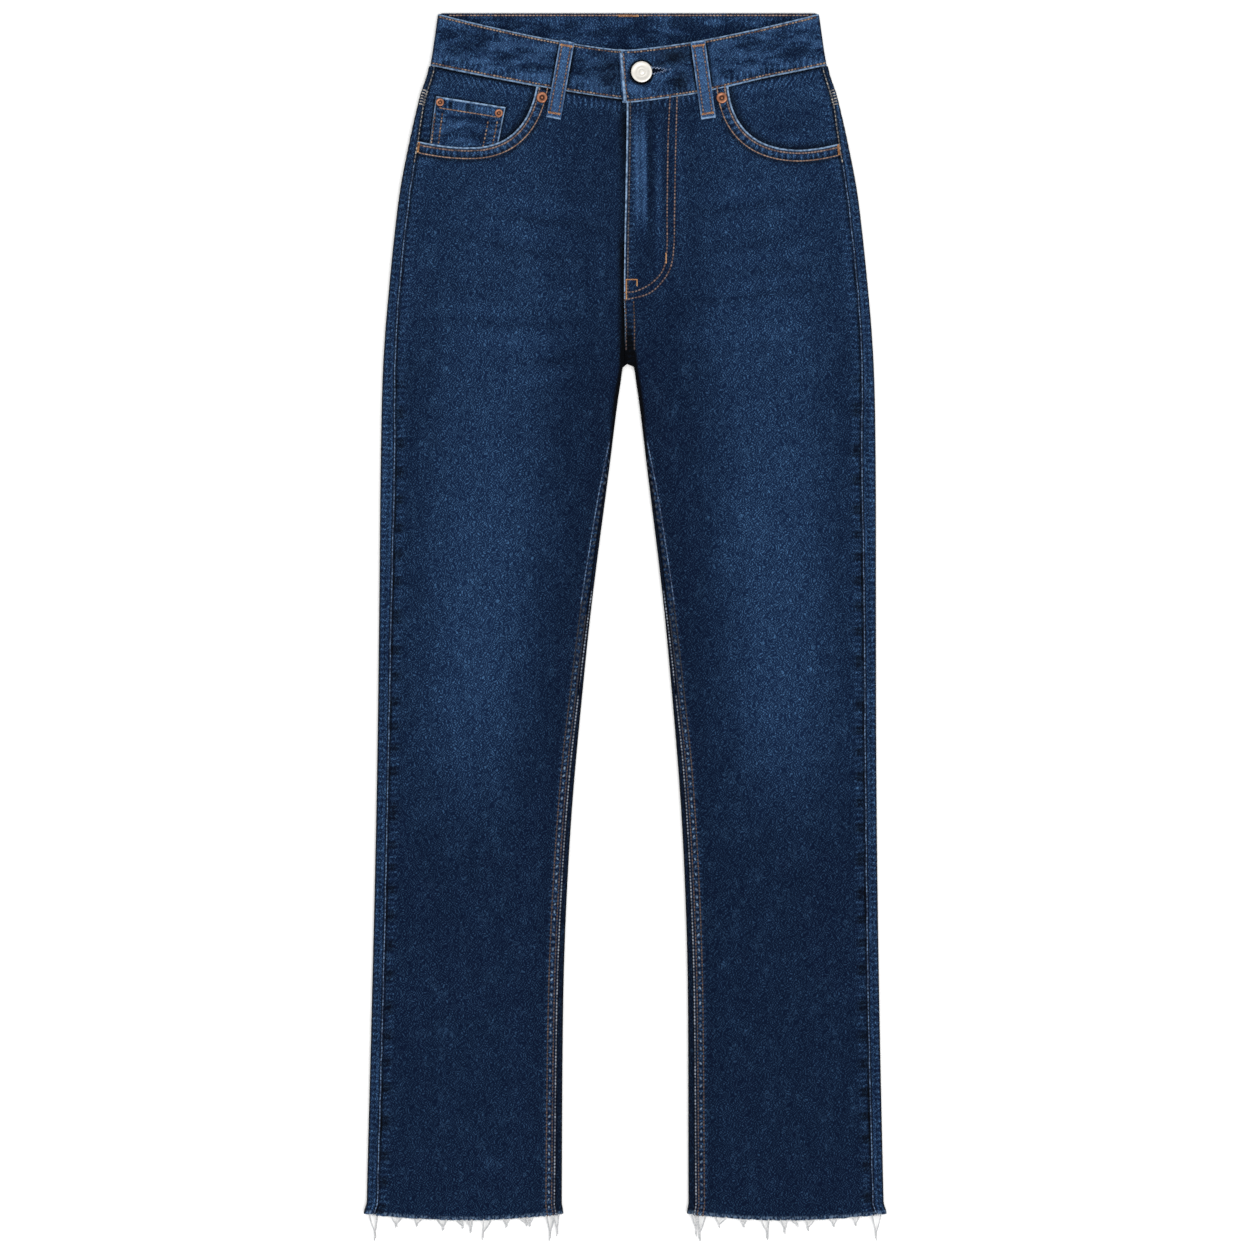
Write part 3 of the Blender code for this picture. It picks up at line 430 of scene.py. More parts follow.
def linked(name, data):
    """A new object in the scene with this mesh, lamp or camera."""
    thing = bpy.data.objects.new(name, data)
    bpy.context.scene.collection.objects.link(thing)
    return thing


def cloth(name, points, flip, marks, wall=WALL, rounded=0.0):
    """A wall of cloth from a grid of points on its outside, with the material's marks on every point."""
    rows, columns = points.shape[:2]
    index = np.arange(rows * columns).reshape(rows, columns)
    corners = [index[:-1, :-1], index[:-1, 1:], index[1:, 1:], index[1:, :-1]]
    faces = np.stack(corners[::-1] if flip else corners, axis=-1).reshape(-1, 4)
    mesh = bpy.data.meshes.new(name)
    mesh.from_pydata(points.reshape(-1, 3).tolist(), [], faces.tolist())
    for label, values in ({"hem": FAR, "shade": 0.0} | marks).items():
        layer = mesh.attributes.new(label, "FLOAT", "POINT")
        layer.data.foreach_set("value", np.broadcast_to(values, (rows, columns)).astype(np.float32).ravel())
    shell = linked(name, mesh)
    thick = shell.modifiers.new("wall", "SOLIDIFY")
    thick.thickness, thick.offset = wall, -1
    if rounded:
        bevel = shell.modifiers.new("worn_edges", "BEVEL")
        bevel.width, bevel.segments, bevel.limit_method = rounded, 2, "ANGLE"
        bevel.angle_limit = math.radians(55)
    return plain_mesh(shell, name)


def plain_mesh(source, name, sharp=50):
    """The evaluated object as a plain mesh of this name, in place of the source."""
    bpy.context.view_layer.update()
    evaluated = source.evaluated_get(bpy.context.evaluated_depsgraph_get())
    mesh = bpy.data.meshes.new_from_object(evaluated)
    bpy.data.objects.remove(source)
    mesh.name = name
    mesh.shade_smooth()
    mesh.set_sharp_from_angle(angle=math.radians(sharp))
    return linked(name, mesh)


def leg_fade(side, down, from_inner, from_outline):
    """How far the dye has washed out: most on the thighs, least down the inner leg and the calf."""
    length = 0.65 + 0.15 * smooth_step(0.22, 0.30, down) + 0.21 * smooth_step(0.33, 0.46, down)
    length = length * fading(0.592, 0.752, down) + 0.02
    at_hip = fading(0.21, 0.32, down)
    inside = smooth_step(0.022, 0.088, from_inner - 0.011 * fading(0.36, 0.46, down))
    outside = smooth_step(0.022, 0.074, from_outline)
    lowest_inside, lowest_outside = (0.34 if side == RIGHT else 0.10) * at_hip, 0.26 + 0.44 * at_hip
    return length * mix(lowest_inside, 1.0, inside) * mix(lowest_outside, 1.0, outside)


def whisker_wash(side, out, down):
    """Pale ridges and dark folds across the hips, where the cloth creases when the wearer sits."""
    total = 0.0
    for whisker in WHISKERS:
        if whisker.side == side:
            across, fall = out - whisker.out, down - whisker.down
            v = fall + whisker.slope * across + 0.0020 * wobble(out, 0.021, 181)
            reach = np.exp(-((np.abs(across) / (whisker.length / 2)) ** 3))
            total = total + whisker.wash * reach * np.exp(-((v / whisker.width) ** 2))
    return total


def patch(out, down, centre_out, centre_down, half_out, half_down):
    """A soft spot: 1 in its middle, fading out past these half sizes."""
    return np.exp(-(((out - centre_out) / half_out) ** 2) - ((down - centre_down) / half_down) ** 2)


def puckers(run, pitch, seed):
    """Small uneven ridges along a seam, from -1 to 1, about one for each pitch."""
    phase = run / pitch + 0.45 * wobble(run, pitch * 3.1, seed)
    return np.sin(2 * math.pi * phase) * (0.75 + 0.35 * wobble(run, pitch * 5, seed + 1))


def seam_band(distance, start, end, soft=0.0008):
    """1 between two distances from a seam, with soft borders."""
    return smooth_step(start - soft, start + soft, distance) * fading(end - soft, end + soft, distance)


# %% [markdown]
# ## Front panels
#
# A front is one piece from the waist seam to the hem, scooped out at the pocket mouth. Its grid is bent so
# that the top row follows the waist seam and then the scoop. The mouth is turned under and stitched twice,
# the inseam is felled into a raised band, and both pucker between their stitch rows, which is where denim
# fades first. Below the crotch the band is still tucked under the fold, and TUCKED says by how much.

# %% Front panels
ROW_PITCH = 0.00168
MOUTH_HEM, CROTCH_TURN, UPRIGHT_ABOVE = 0.0105, 0.0028, 0.126
INSEAM_SHOWS = 0.374
Tuck = namedtuple("Tuck", "down under")
TUCKED = (
    Tuck(0.3740, 0.0070), Tuck(0.3885, 0.0061), Tuck(0.4180, 0.0045), Tuck(0.4750, 0.0030),
    Tuck(0.5100, 0.0022), Tuck(0.5790, 0.0010), Tuck(0.6400, 0.0),
)
INNER_COLUMNS = (
    0.0, 0.5, 1.1, 1.8, 2.6, 3.5, 4.5, 5.6, 6.7, 7.7, 8.6, 9.3, 9.9, 10.8, 12.4, 14.5, 16.6, 18.0, 19.2,
    20.4, 22.5, 25.5, 28.0, 30.0, 32.5,
)
OUTER_COLUMNS = (18.0, 13.0, 9.5, 6.8, 4.9, 3.7, 3.0, 2.4, 1.8, 1.2, 0.6, 0.0)
Column = namedtuple("Column", "from_inner share from_outer top")


def middle_reach(side, down):
    """The stretch that holds the middle columns. Beside the mouth its outer end stands upright."""
    low = fly_edge(side, down) + INNER_COLUMNS[-1] / 1000
    return low, front_outer_edge(np.maximum(down, UPRIGHT_ABOVE)) - OUTER_COLUMNS[0] / 1000


def column_out(side, column, down):
    """Where a column lies at each height above the crotch."""
    inner, outer = fly_edge(side, down), front_outer_edge(down)
    if column.from_inner is not None:
        return inner + column.from_inner
    if column.from_outer is not None:
        return outer - column.from_outer
    return mix(*middle_reach(side, down), column.share)


def share_across(side, out, down):
    low, high = middle_reach(side, down)
    return (out - low) / (high - low)


def mouth_steps(side):
    """Points of (out, down) at even steps along the mouth, from its corner at the waist seam."""
    line = mouth_line(side)
    below = line[:, 1] - front_band_seam(line[:, 0]) - GAP
    corner = [np.interp(0.0, below[:40], line[:40, axis]) for axis in (0, 1)]
    line = np.concatenate([[corner], line[below > 0.0002]])
    runs = np.concatenate([[0], np.cumsum(np.linalg.norm(np.diff(line, axis=0), axis=1))])
    steps = np.concatenate([np.arange(0, 0.066, 0.0036), np.arange(0.066, 0.140, 0.0058)])
    return np.stack([np.interp(steps, runs, line[:, axis]) for axis in (0, 1)])


def front_columns(side):
    """The columns of a front: by the inner edge, between, in even steps along the mouth, by the outseam."""
    out, down = mouth_steps(side)
    shares = share_across(side, out, down)
    between = [Column(None, float(share), None, None) for share in np.linspace(0, shares[0], 13)[1:-1]]
    steps = [(float(share), float(top)) for share, top in zip(shares, down) if share < 0.985]
    mouth = [Column(None, share, None, top) for share, top in steps]
    inner = [Column(offset / 1000, 0.0, None, None) for offset in INNER_COLUMNS]
    return inner + between + mouth + [Column(None, 1.0, offset / 1000, None) for offset in OUTER_COLUMNS]


def panel_top(side, out):
    """How far down the panel starts: at the waist seam, or at the pocket mouth past its corner."""
    line = mouth_line(side)
    past = np.interp(out, line[:, 0], line[:, 1], left=0.0)
    return np.maximum(front_band_seam(out) + GAP, past)


def front_levels():
    fine_top = BAND_SIDE_DEPTH + np.array([0.0, 0.4, 0.8, 1.3, 1.9, 2.6, 3.4, 4.4, 5.6]) / 1000
    above = np.arange(fine_top[-1] + ROW_PITCH, CROTCH - 0.0040, ROW_PITCH)
    turn = CROTCH + np.array([-3.4, -2.9, -2.5, -2.1, -1.7, -1.3, -0.9, -0.5, 0.0, 0.6, 1.4, 2.4]) / 1000
    below = np.arange(CROTCH + 0.0036, SIDE_HEM - 0.0052, ROW_PITCH)
    foot = SIDE_HEM - np.array([4.6, 3.6, 2.8, 2.1, 1.5, 1.0, 0.5, 0.0]) / 1000
    return np.concatenate([fine_top, above, turn, below, foot])


def front_grid(side):
    levels = front_levels()
    outs, downs = [], []
    for column in front_columns(side):
        top = column.top or 0.07
        for _ in range(0 if column.top else 60):
            top = mix(top, float(panel_top(side, column_out(side, column, top))), 0.5)
        down = levels + (top - levels[0]) * fading(levels[0], 0.24, levels)
        outs.append(column_out(side, column, down))
        downs.append(down)
    return np.stack(outs, axis=1), np.stack(downs, axis=1)


def front_fade(side, out, down):
    """The wash of a front, with the paler placket beside the fly edge and the dark seam at the crotch."""
    from_inner = from_inner_edge(out, down)
    fade = leg_fade(side, down, from_inner, half_width(down) - out) + whisker_wash(side, out, down)
    fade = fade + (0.7 if side == RIGHT else 0.4) * patch(out, down, 0.1770, 0.1285, 0.0065, 0.0050)
    if side == LEFT:
        length = smooth_step(0.076, 0.112, down) * fading(0.155, 0.205, down)
        length = length * (1 + 0.3 * wobble(down, 0.013, 171))
        bend = out - 0.0012 * smooth_step(0.080, 0.160, down)
        fade = fade + 1.15 * length * smooth_step(0.0010, 0.0060, bend) * fading(0.0136, 0.0170, bend)
        fade = fade + length * (1.20 * peak(bend, 0.0068, 0.0016) + 1.60 * peak(bend, 0.0127, 0.0017))
        fade = fade + 1.10 * patch(out, down, 0.0265, 0.150, 0.0026, 0.060)
        fade = fade + 0.75 * patch(out, down, 0.0455, 0.150, 0.0048, 0.060)
    return fade


def front_shade(side, out, down, from_mouth, from_fold):
    """Painted shade in the seams, at the folds and round the crotch, and a darker left calf, from 0 to 1."""
    # Painted shadow under the band's lower edge, and painted shade beside the outseam and its puckers.
    under_band = 0.95 * peak(down - front_band_seam(out), 0.0004, 0.0017)
    by_outseam = 0.80 * peak(front_outer_edge(down) - out, 0.0024, 0.0010)
    by_outseam = by_outseam * (0.75 + 0.35 * wobble(down, 0.019, 130))
    from_outseam = front_outer_edge(down) - out
    roping = np.sin(2 * math.pi * down / 0.0245 + 2.4 * wobble(down, 0.055, 131 + side))
    roped = 0.66 * smooth_step(0.0, 0.8, roping) * smooth_step(0.28, 0.36, down)
    by_outseam = by_outseam + roped * peak(from_outseam, 0.0062, 0.0036)
    # Painted shade beside the mouth's outer row, above and below it.
    fell_edge = 0.70 * peak(from_mouth - MOUTH_HEM, 0.0012, 0.0013)
    fell_edge = fell_edge + 0.70 * peak(from_mouth, 0.0084, 0.0012)
    # Painted shade at the crotch, where the legs round away, and along the inseam's fold edge below it.
    from_inner = from_inner_edge(out, down)
    rim = fading(0.0014, 0.0052, from_inner) * smooth_step(0.250, 0.285, down)
    rim = 0.97 * rim * fading(0.330, 0.395, down)
    past_edge = np.maximum(from_inner - from_fold, 0)
    rim = rim + 0.93 * peak(past_edge, 0, 0.0009) * smooth_step(0.330, 0.395, down)
    rim = rim + 0.14 * fading(0.006, 0.036, from_inner) * smooth_step(0.26, 0.34, down)
    # A slightly darker left calf. On the right, painted shadow beside the fly edge; on the left, two patches
    # of painted shade beside the fly.
    beside = 0.06 * smooth_step(0.66, 0.78, down)
    if side == RIGHT:
        beside = 0.86 * fading(0.002, 0.012, out) * fading(0.26, 0.29, down)
        beside = beside * (0.75 + 0.35 * wobble(down, 0.020, 120))
        low = smooth_step(0.180, 0.205, down) * fading(0.285, 0.310, down)
        beside = np.maximum(beside, 0.95 * fading(0.0046, 0.0120, out) * low)
    else:
        beside = beside + 0.30 * patch(out, down, 0.0186, 0.138, 0.0020, 0.050)
        beside = beside + 0.25 * patch(out, down, 0.0240, 0.075, 0.0300, 0.012)
    return np.clip(under_band + by_outseam + fell_edge + rim + beside, 0, 0.96)


def below_crotch(down):
    """0 above the crotch and 1 below it, with a short straight turn between."""
    return np.clip((down - CROTCH + CROTCH_TURN) / CROTCH_TURN, 0.0, 1.0)


def front_panel(side):
    out, down = front_grid(side)
    columns = front_columns(side)
    last_inner = INNER_COLUMNS[-1] / 1000
    offsets = np.array([last_inner if c.from_inner is None else c.from_inner for c in columns])
    shares = np.array([c.share for c in columns])
    near_outer = np.array([-1.0 if c.from_outer is None else c.from_outer for c in columns])

    # Below the crotch, the inner columns run round the inseam fold.
    wrap = read(INNER, "seam_wrap", down) + mix(CROTCH_EASE, GAP, smooth_step(CROTCH, CROTCH + 0.012, down))
    inner_out, inner_height = inner_path(side, down, wrap + offsets)
    outer = front_outer_edge(down)
    leg_out = mix(inner_out, outer - OUTER_COLUMNS[0] / 1000, shares)
    leg_out = np.where(near_outer >= 0, outer - near_outer, leg_out)
    below = below_crotch(down)
    out = mix(out, leg_out, below)
    hanging = hung(out, down)
    height = front_height(side, out, hanging)
    on_fold = np.array([c.from_inner is not None for c in columns])
    height = np.where(on_fold, mix(height, inner_height, below), height)

    # Distances to each seam.
    from_mouth, mouth_run = distance_to(mouth_line(side), out, down)
    from_inseam = np.where(down > CROTCH, np.where(on_fold, offsets + 0 * down, out - half_gap(down)), FAR)
    on_band = from_inseam + read(TUCKED, "under", down)
    from_fly = np.where(down < CROTCH + 0.004, out - fly_edge(side, down), FAR)
    from_outseam = np.maximum(outer - out, 0.0)
    from_waist = down - front_band_seam(out)
    from_hem = SIDE_HEM + hem_sag(out) - hanging
    fly_rope = 0.35 + 0.4 * smooth_step(0.25, 0.29, down)
    if side == LEFT:
        from_fly = from_fly * mix(1.0, 1.35, smooth_step(0.165, 0.200, down))
    band_rope = smooth_step(0.345, 0.390, down) * (0.48 + 0.27 * smooth_step(0.52, 0.66, down))
    seams = (
        Seam(from_mouth, mouth_run, 0.95, 1.0),
        Seam(on_band, down, band_rope, 0.0),
        Seam(from_fly if side == LEFT else FAR, down, fly_rope, fading(0.268, 0.292, down)),
        Seam(from_outseam, down + 3, 0.30, 0.05),
        Seam(from_waist, out + 5, 0.60, 0.0),
    )
    marks = nearest_seam(seams, out.shape) | {"hem": from_hem}
    marks["fade"] = front_fade(side, out, hanging)
    marks["shade"] = front_shade(side, out, hanging, from_mouth, out - half_gap(down) - from_inseam)

    # Relief: the turned hem of the mouth, the felled band, and puckers between the stitch rows.
    hem_of_mouth = fading(MOUTH_HEM, MOUTH_HEM + 0.0010, from_mouth)
    fell = fading(FELL_WIDTH - 0.0005, FELL_WIDTH + 0.0006, on_band)
    fell = fell * smooth_step(0.340, 0.400, down)
    relief = 0.00035 * hem_of_mouth - 0.0005 * fading(0.0, 0.0012, from_mouth) ** 2
    relief = relief + FELL_LIFT * fell
    relief = relief + 0.00016 * puckers(mouth_run, 0.0046, 3) * seam_band(from_mouth, 0.0028, 0.0088)
    rope_shape = puckers(down, 0.0058, 5 + side) * seam_band(on_band, 0.0026, 0.0080)
    relief = relief + 0.00034 * rope_shape * smooth_step(0.355, 0.420, down)
    relief = relief + 0.00022 * puckers(down, 0.0068, 9 + side) * seam_band(from_outseam, 0.0022, 0.0075)
    relief = relief - 0.00025 * seam_band(from_outseam, 0.0009, 0.0018, 0.0005)
    relief = relief + 0.00020 * puckers(out, 0.0072, 12) * seam_band(from_waist, 0.0015, 0.0090)
    relief = relief + 0.00012 * wobble(down, 0.013, 21) * wobble(out, 0.017, 22)
    relief = relief + 0.0008 * whisker_wash(side, out, hanging)
    if side == LEFT:
        pleat = smooth_step(0.0060, 0.0150, out) * fading(0.0155, 0.0185, out)
        relief = relief + 0.00045 * pleat * smooth_step(0.075, 0.10, down) * fading(0.16, 0.21, down)
    relief = relief - 0.0003 * fading(0.0, 0.0030, from_hem) * (1 + wobble(out, 0.004, 31))
    points = place(side, out, hanging, height + relief)
    ragged = 0.0007 * wobble(out, 0.0016, 33) * fading(0.0, 0.004, from_hem)
    points[..., 1] -= ragged
    name = "front_panel_" + SIDE_WORD[side]
    return cloth(name, points, side == LEFT, marks), name


fronts = {}
for side in (RIGHT, LEFT):
    fronts[side], label = front_panel(side)
    print(label, len(fronts[side].data.polygons), "faces")

# %% [markdown]
# ## Back panels and yokes
#
# The back cloth lies on the table and rolls round the folds, so its grid follows the section from the
# outseam, down round the side, across the underside and up to the inseam. The yoke is the shaped piece
# above it.


# %% Back panels and yokes
CURL, UNDER = 9, 12
OUTLINE_EASE, LAST_STRIP = 0.0005, 0.012


def back_section(side, down, share, centre):
    """(out, height, distances from both seams) across the back, share 0 at the outseam and 1 within."""
    arc = outseam_arc(down)
    foot = half_width(down) - outer_radius(down)
    curl_out, curl_height = outer_path(side, down, arc * (1 - share * 3), 2 * OUTLINE_EASE)
    inner_foot = np.where(down < CROTCH, LAST_STRIP, half_gap(down) + inner_radius(down))
    flat = mix(foot, inner_foot, np.clip(share * 3 - 1, 0, 1))
    below = below_crotch(down)
    wrap_share = np.clip(share * 3 - 2, 0, 1)
    in_out, in_height = inner_path(side, down, read(INNER, "seam_wrap", down) * wrap_share, OUTLINE_EASE)
    end_out = mix(LAST_STRIP, centre, wrap_share)
    last_out = mix(end_out, in_out, below)
    out = np.where(share < 1 / 3, curl_out, np.where(share < 2 / 3, flat, last_out))
    height = np.where(share < 1 / 3, curl_height, np.where(share < 2 / 3, 0.0, in_height * below))
    height = np.maximum(height, 0.0)
    from_outseam = np.maximum(share * 3, 0) * arc
    from_inner = (1 - share) * 3 * mix(LAST_STRIP, read(INNER, "seam_wrap", down), below)
    return out, height, from_outseam, from_inner


def back_piece(side, name, levels, low_edge):
    shares = np.concatenate([
        np.linspace(0, 1 / 3, CURL + 3),
        np.linspace(1 / 3, 2 / 3, UNDER)[1:],
        np.linspace(2 / 3, 1, CURL)[1:],
    ])
    down, share = np.meshgrid(levels, shares, indexing="ij")
    out, height, from_outseam, from_inner = back_section(side, down, share, GAP / 2)
    shift = low_edge(out, down)
    strip = np.where(share < 1 / 3, from_outseam, FAR)
    inner_strip = np.where(share > 2 / 3, from_inner, FAR)
    ridge = 0.00022 * puckers(down, 0.0075, 40 + side) * seam_band(strip, 0.0015, 0.0080)
    inner_ridge = 0.00015 * puckers(down, 0.0060, 44 + side) * seam_band(inner_strip, 0.0010, 0.0040)
    radius = outer_radius(down)
    turn = np.clip(np.arctan2(height - radius, out - half_width(down) + radius), -math.pi / 2, math.pi / 2)
    out = out + np.where(share < 1 / 3, ridge * np.cos(turn), 0.0)
    rise = ridge * np.maximum(np.sin(turn), 0.0)
    height = height + np.where(share < 1 / 3, rise, inner_ridge * (height > 0.002))
    marks = nearest_seam((Seam(strip, down + 3, 0.55, 0.0), Seam(inner_strip, down, 0.3, 0.0)), out.shape)
    fold_line = 2.8 * peak(strip, 0.0018, 0.0006) * (0.6 + 0.5 * wobble(down, 0.017, 191 + side))
    marks["hem"] = SIDE_HEM - down
    marks["fade"] = (mix(0.66, 0.42, smooth_step(0.30, 1.04, down)) + fold_line) * (share < 0.5)
    # Painted shade along the outline, where the cloth turns away, in two grooves of the outseam strip, and
    # over the inner half of the back.
    by_side, by_gap = half_width(down) + 2 * OUTLINE_EASE - out, out - half_gap(down) + OUTLINE_EASE
    to_outline = np.where(share < 0.5, by_side, by_gap)
    outline = 0.88 * fading(0.0006, 0.0022, to_outline)
    grooves = 0.42 * peak(strip, 0.0037, 0.0010) + 0.50 * peak(strip, 0.0004, 0.0006)
    marks["shade"] = np.maximum(np.where(share < 0.5, grooves, 0.50), outline)
    points = place(side, out, down + shift, height)
    return cloth(name, points, side == LEFT, marks)


def back_panel(side):
    levels = np.concatenate([np.arange(YOKE_SIDE + GAP, SIDE_HEM, 0.0022), [SIDE_HEM]])

    def shift(out, down):
        return (yoke_seam(out) - YOKE_SIDE) * fading(YOKE_SIDE, 0.26, down)

    return back_piece(side, "back_panel_" + SIDE_WORD[side], levels, shift)


def yoke(side):
    levels = np.linspace(YOKE_TOP, YOKE_SIDE, 14)

    def shift(out, down):
        return (yoke_seam(out) - YOKE_SIDE) * (down - YOKE_TOP) / (YOKE_SIDE - YOKE_TOP)

    return back_piece(side, "back_yoke_" + SIDE_WORD[side], levels, shift)


backs = {side: back_panel(side) for side in (RIGHT, LEFT)}
yokes = {side: yoke(side) for side in (RIGHT, LEFT)}
print("a back panel has", len(backs[LEFT].data.polygons), "faces")

# %% [markdown]
# ## Waistband
#
# The band is one folded strip, so it is thicker than the panels, and its edges are rounded. It runs from
# the hidden end under the button, round the wearer's right side, across the back, and round to the
# buttonhole end.

# %% Waistband
BAND_DEPTH = 0.0435


def band_height(side, out, down):
    height = front_height(RIGHT, np.abs(out), down) + BAND_PROUD
    lap = fading(LAP_NEAR, LAP_FAR, out)
    return height + (OVERLAP_RISE if side == LEFT else -UNDERLAP_SINK) * lap


def band_half(side, depth):
    """(out, down, height) from the front end of the band round to the middle of the back."""
    end = UNDERLAP_OUT if side == RIGHT else mix(OVERLAP_TOP_OUT, OVERLAP_SEAM_OUT, depth)
    side_down = mix(0.0, BAND_SIDE_DEPTH, depth)
    radius = outer_radius(side_down) + BAND_PROUD / 2
    fold = half_width(side_down) - radius
    front_out = mix(end, fold, np.concatenate([[0, 0.003, 0.007, 0.013], np.linspace(0.02, 1, 180)])[None])
    front_down = mix(front_band_top(front_out), front_band_seam(front_out), depth)
    if side == LEFT:
        front_out = front_out - 0.0024 * fading(end, end + 0.020, front_out)
        front_down = front_down + depth * 0.0030 * fading(0.050, 0.130, front_out)
    front = (front_out, front_down, band_height(side, front_out, front_down))
    share = np.linspace(0, 1, 12)[None, 1:]
    seam_end = mix(front_band_top(fold), front_band_seam(fold), depth)
    back_down = mix(-0.0011, BACK_BAND_DEPTH, depth)
    curl = (
        fold + radius * np.sin(math.pi * share),
        mix(seam_end, back_down, share),
        radius + radius * np.cos(math.pi * share),
    )
    across = np.linspace(0, 1, 70)[None, 1:]
    back = (fold * (1 - across), back_down + 0 * across, 0 * (fold + across))
    return [np.concatenate(parts, axis=1) for parts in zip(front, curl, back)]


DARK_SPOTS = {
    RIGHT: ((0.52, 0.0150, 0.0520, 0.0150, 0.0200),),
    LEFT: (
        (0.84, 0.0400, 0.0370, 0.0160, 0.0080), (0.72, 0.0460, 0.0600, 0.0080, 0.0110),
        (0.70, 0.0270, 0.0440, 0.0080, 0.0030),
    ),
}
PALE_SPOTS = {
    RIGHT: ((0.55, 0.1010, 0.0430, 0.0260, 0.0140),),
    LEFT: (
        (1.2, 0.0005, 0.0405, 0.0050, 0.0050), (1.6, 0.0045, 0.0635, 0.0065, 0.0040),
        (0.9, 0.0185, 0.0630, 0.0070, 0.0035),
    ),
}


def spots(table, out, down):
    """One soft spot for each row of strength, out, down and the two half sizes."""
    return [strength * patch(out, down, *spot) for strength, *spot in table]


def band_shade(side, out, down, depth):
    """Painted shadow beside the loop, along the outline, round the button and under the overlap, and darker
    spots.
    """
    top, low = (np.array(end) for end in LOOP_ENDS[side])
    from_loop = np.abs(out - mix(top[0], low[0], (down - top[1]) / (low[1] - top[1]))) - LOOP_WIDTH / 2
    from_outline = half_width(BAND_SIDE_DEPTH * depth) - out
    dark = [0.90 * peak(from_loop, 0.0006, 0.0016), 0.85 * fading(0.0004, 0.0020, from_outline)]
    if side == LEFT:
        from_button = np.hypot(out - BUTTON_OUT, down - BUTTON_DOWN) - BUTTON_RADIUS
        dark.append(0.97 * peak(np.maximum(from_button - 0.0010, 0.0), 0, 0.0012))
    else:
        dark.append(0.85 * fading(0.0, 0.0050, out + 0.0040))
    return np.max(dark + spots(DARK_SPOTS[side], out, down), axis=0)


def band_fade(side, out, down, from_end, front):
    """The wash of the band. Round the button it is rubbed, and pale strain lines run from its buttonhole."""
    fade = mix(0.30, 0.95 + 0.50 * wobble(out, 0.012, 66) * wobble(down, 0.014, 67), front)
    pale = sum(spots(PALE_SPOTS[side], out, down))
    if side == RIGHT:
        return fade + pale
    for turn in (-1, 1):
        ray = np.abs(down - 0.0492 - turn * 1.25 * (0.0375 - out)) * 0.62
        reach = smooth_step(0.0260, 0.0300, out) * fading(0.0370, 0.0380, out)
        pale = pale + 1.1 * peak(ray, 0, 0.0010) * reach
    tab_fold = (0.8 + 0.4 * wobble(down, 0.006, 68)) * fading(0.0012, 0.0021, from_end)
    return fade + pale + tab_fold


def waistband():
    depth = np.linspace(0, 1, 40)[:, None]
    halves = []
    for side in (RIGHT, LEFT):
        out, down, height = band_half(side, depth)
        front = smooth_step(0.003, 0.0055, height)
        from_top, from_low = depth * BAND_DEPTH + 0 * out, (1 - depth) * BAND_DEPTH + 0 * out
        groove = peak(from_top, 0.0024, 0.0007) + peak(from_low, 0.0022, 0.0007)
        roped = seam_band(from_low, 0.0010, 0.0100) + 0.7 * seam_band(from_top, 0.0010, 0.0085)
        ripple = puckers(out, 0.0062, 60 + side) * roped
        relief = -0.00022 * groove + 0.00013 * ripple
        relief = relief + 0.00022 * wobble(out, 0.021, 63) * wobble(down, 0.016, 64)
        relief = relief * front * smooth_step(0.0, 0.0020, np.minimum(from_top, from_low))
        from_end = np.where(height > 0.003, out - (UNDERLAP_OUT if side == RIGHT else out[:, :1]), FAR)
        inner_line = np.abs(from_end - 0.0027) if side == LEFT else from_end
        seams = (
            Seam(from_top, out + 7, 0.25, 0.8 * front),
            Seam(from_low, out + 9, 0.60, 0.7),
            Seam(inner_line, down, 0.2, 0.9),
        )
        marks = nearest_seam(seams, out.shape)
        marks["fade"] = band_fade(side, out, down, from_end, front)
        marks["shade"] = band_shade(side, out, down, depth) * front
        halves.append({"points": place(side, out, down, height + relief)} | marks)
    right, left = halves
    joined = {label: np.concatenate([right[label], left[label][:, -2::-1]], axis=1) for label in right}
    points = joined.pop("points")
    return cloth("folded_waistband", points, False, joined, wall=BAND_WALL, rounded=0.0008)


band = waistband()
print("the waistband has", len(band.data.polygons), "faces")

# %% [markdown]
# ## Pocket facings and coin pocket
#
# Behind each mouth lies the facing, sewn into the waist seam and the outseam. On the wearer's right a small
# coin pocket lies on it. Its top is turned under twice, so that edge is thick, and it wears white first.


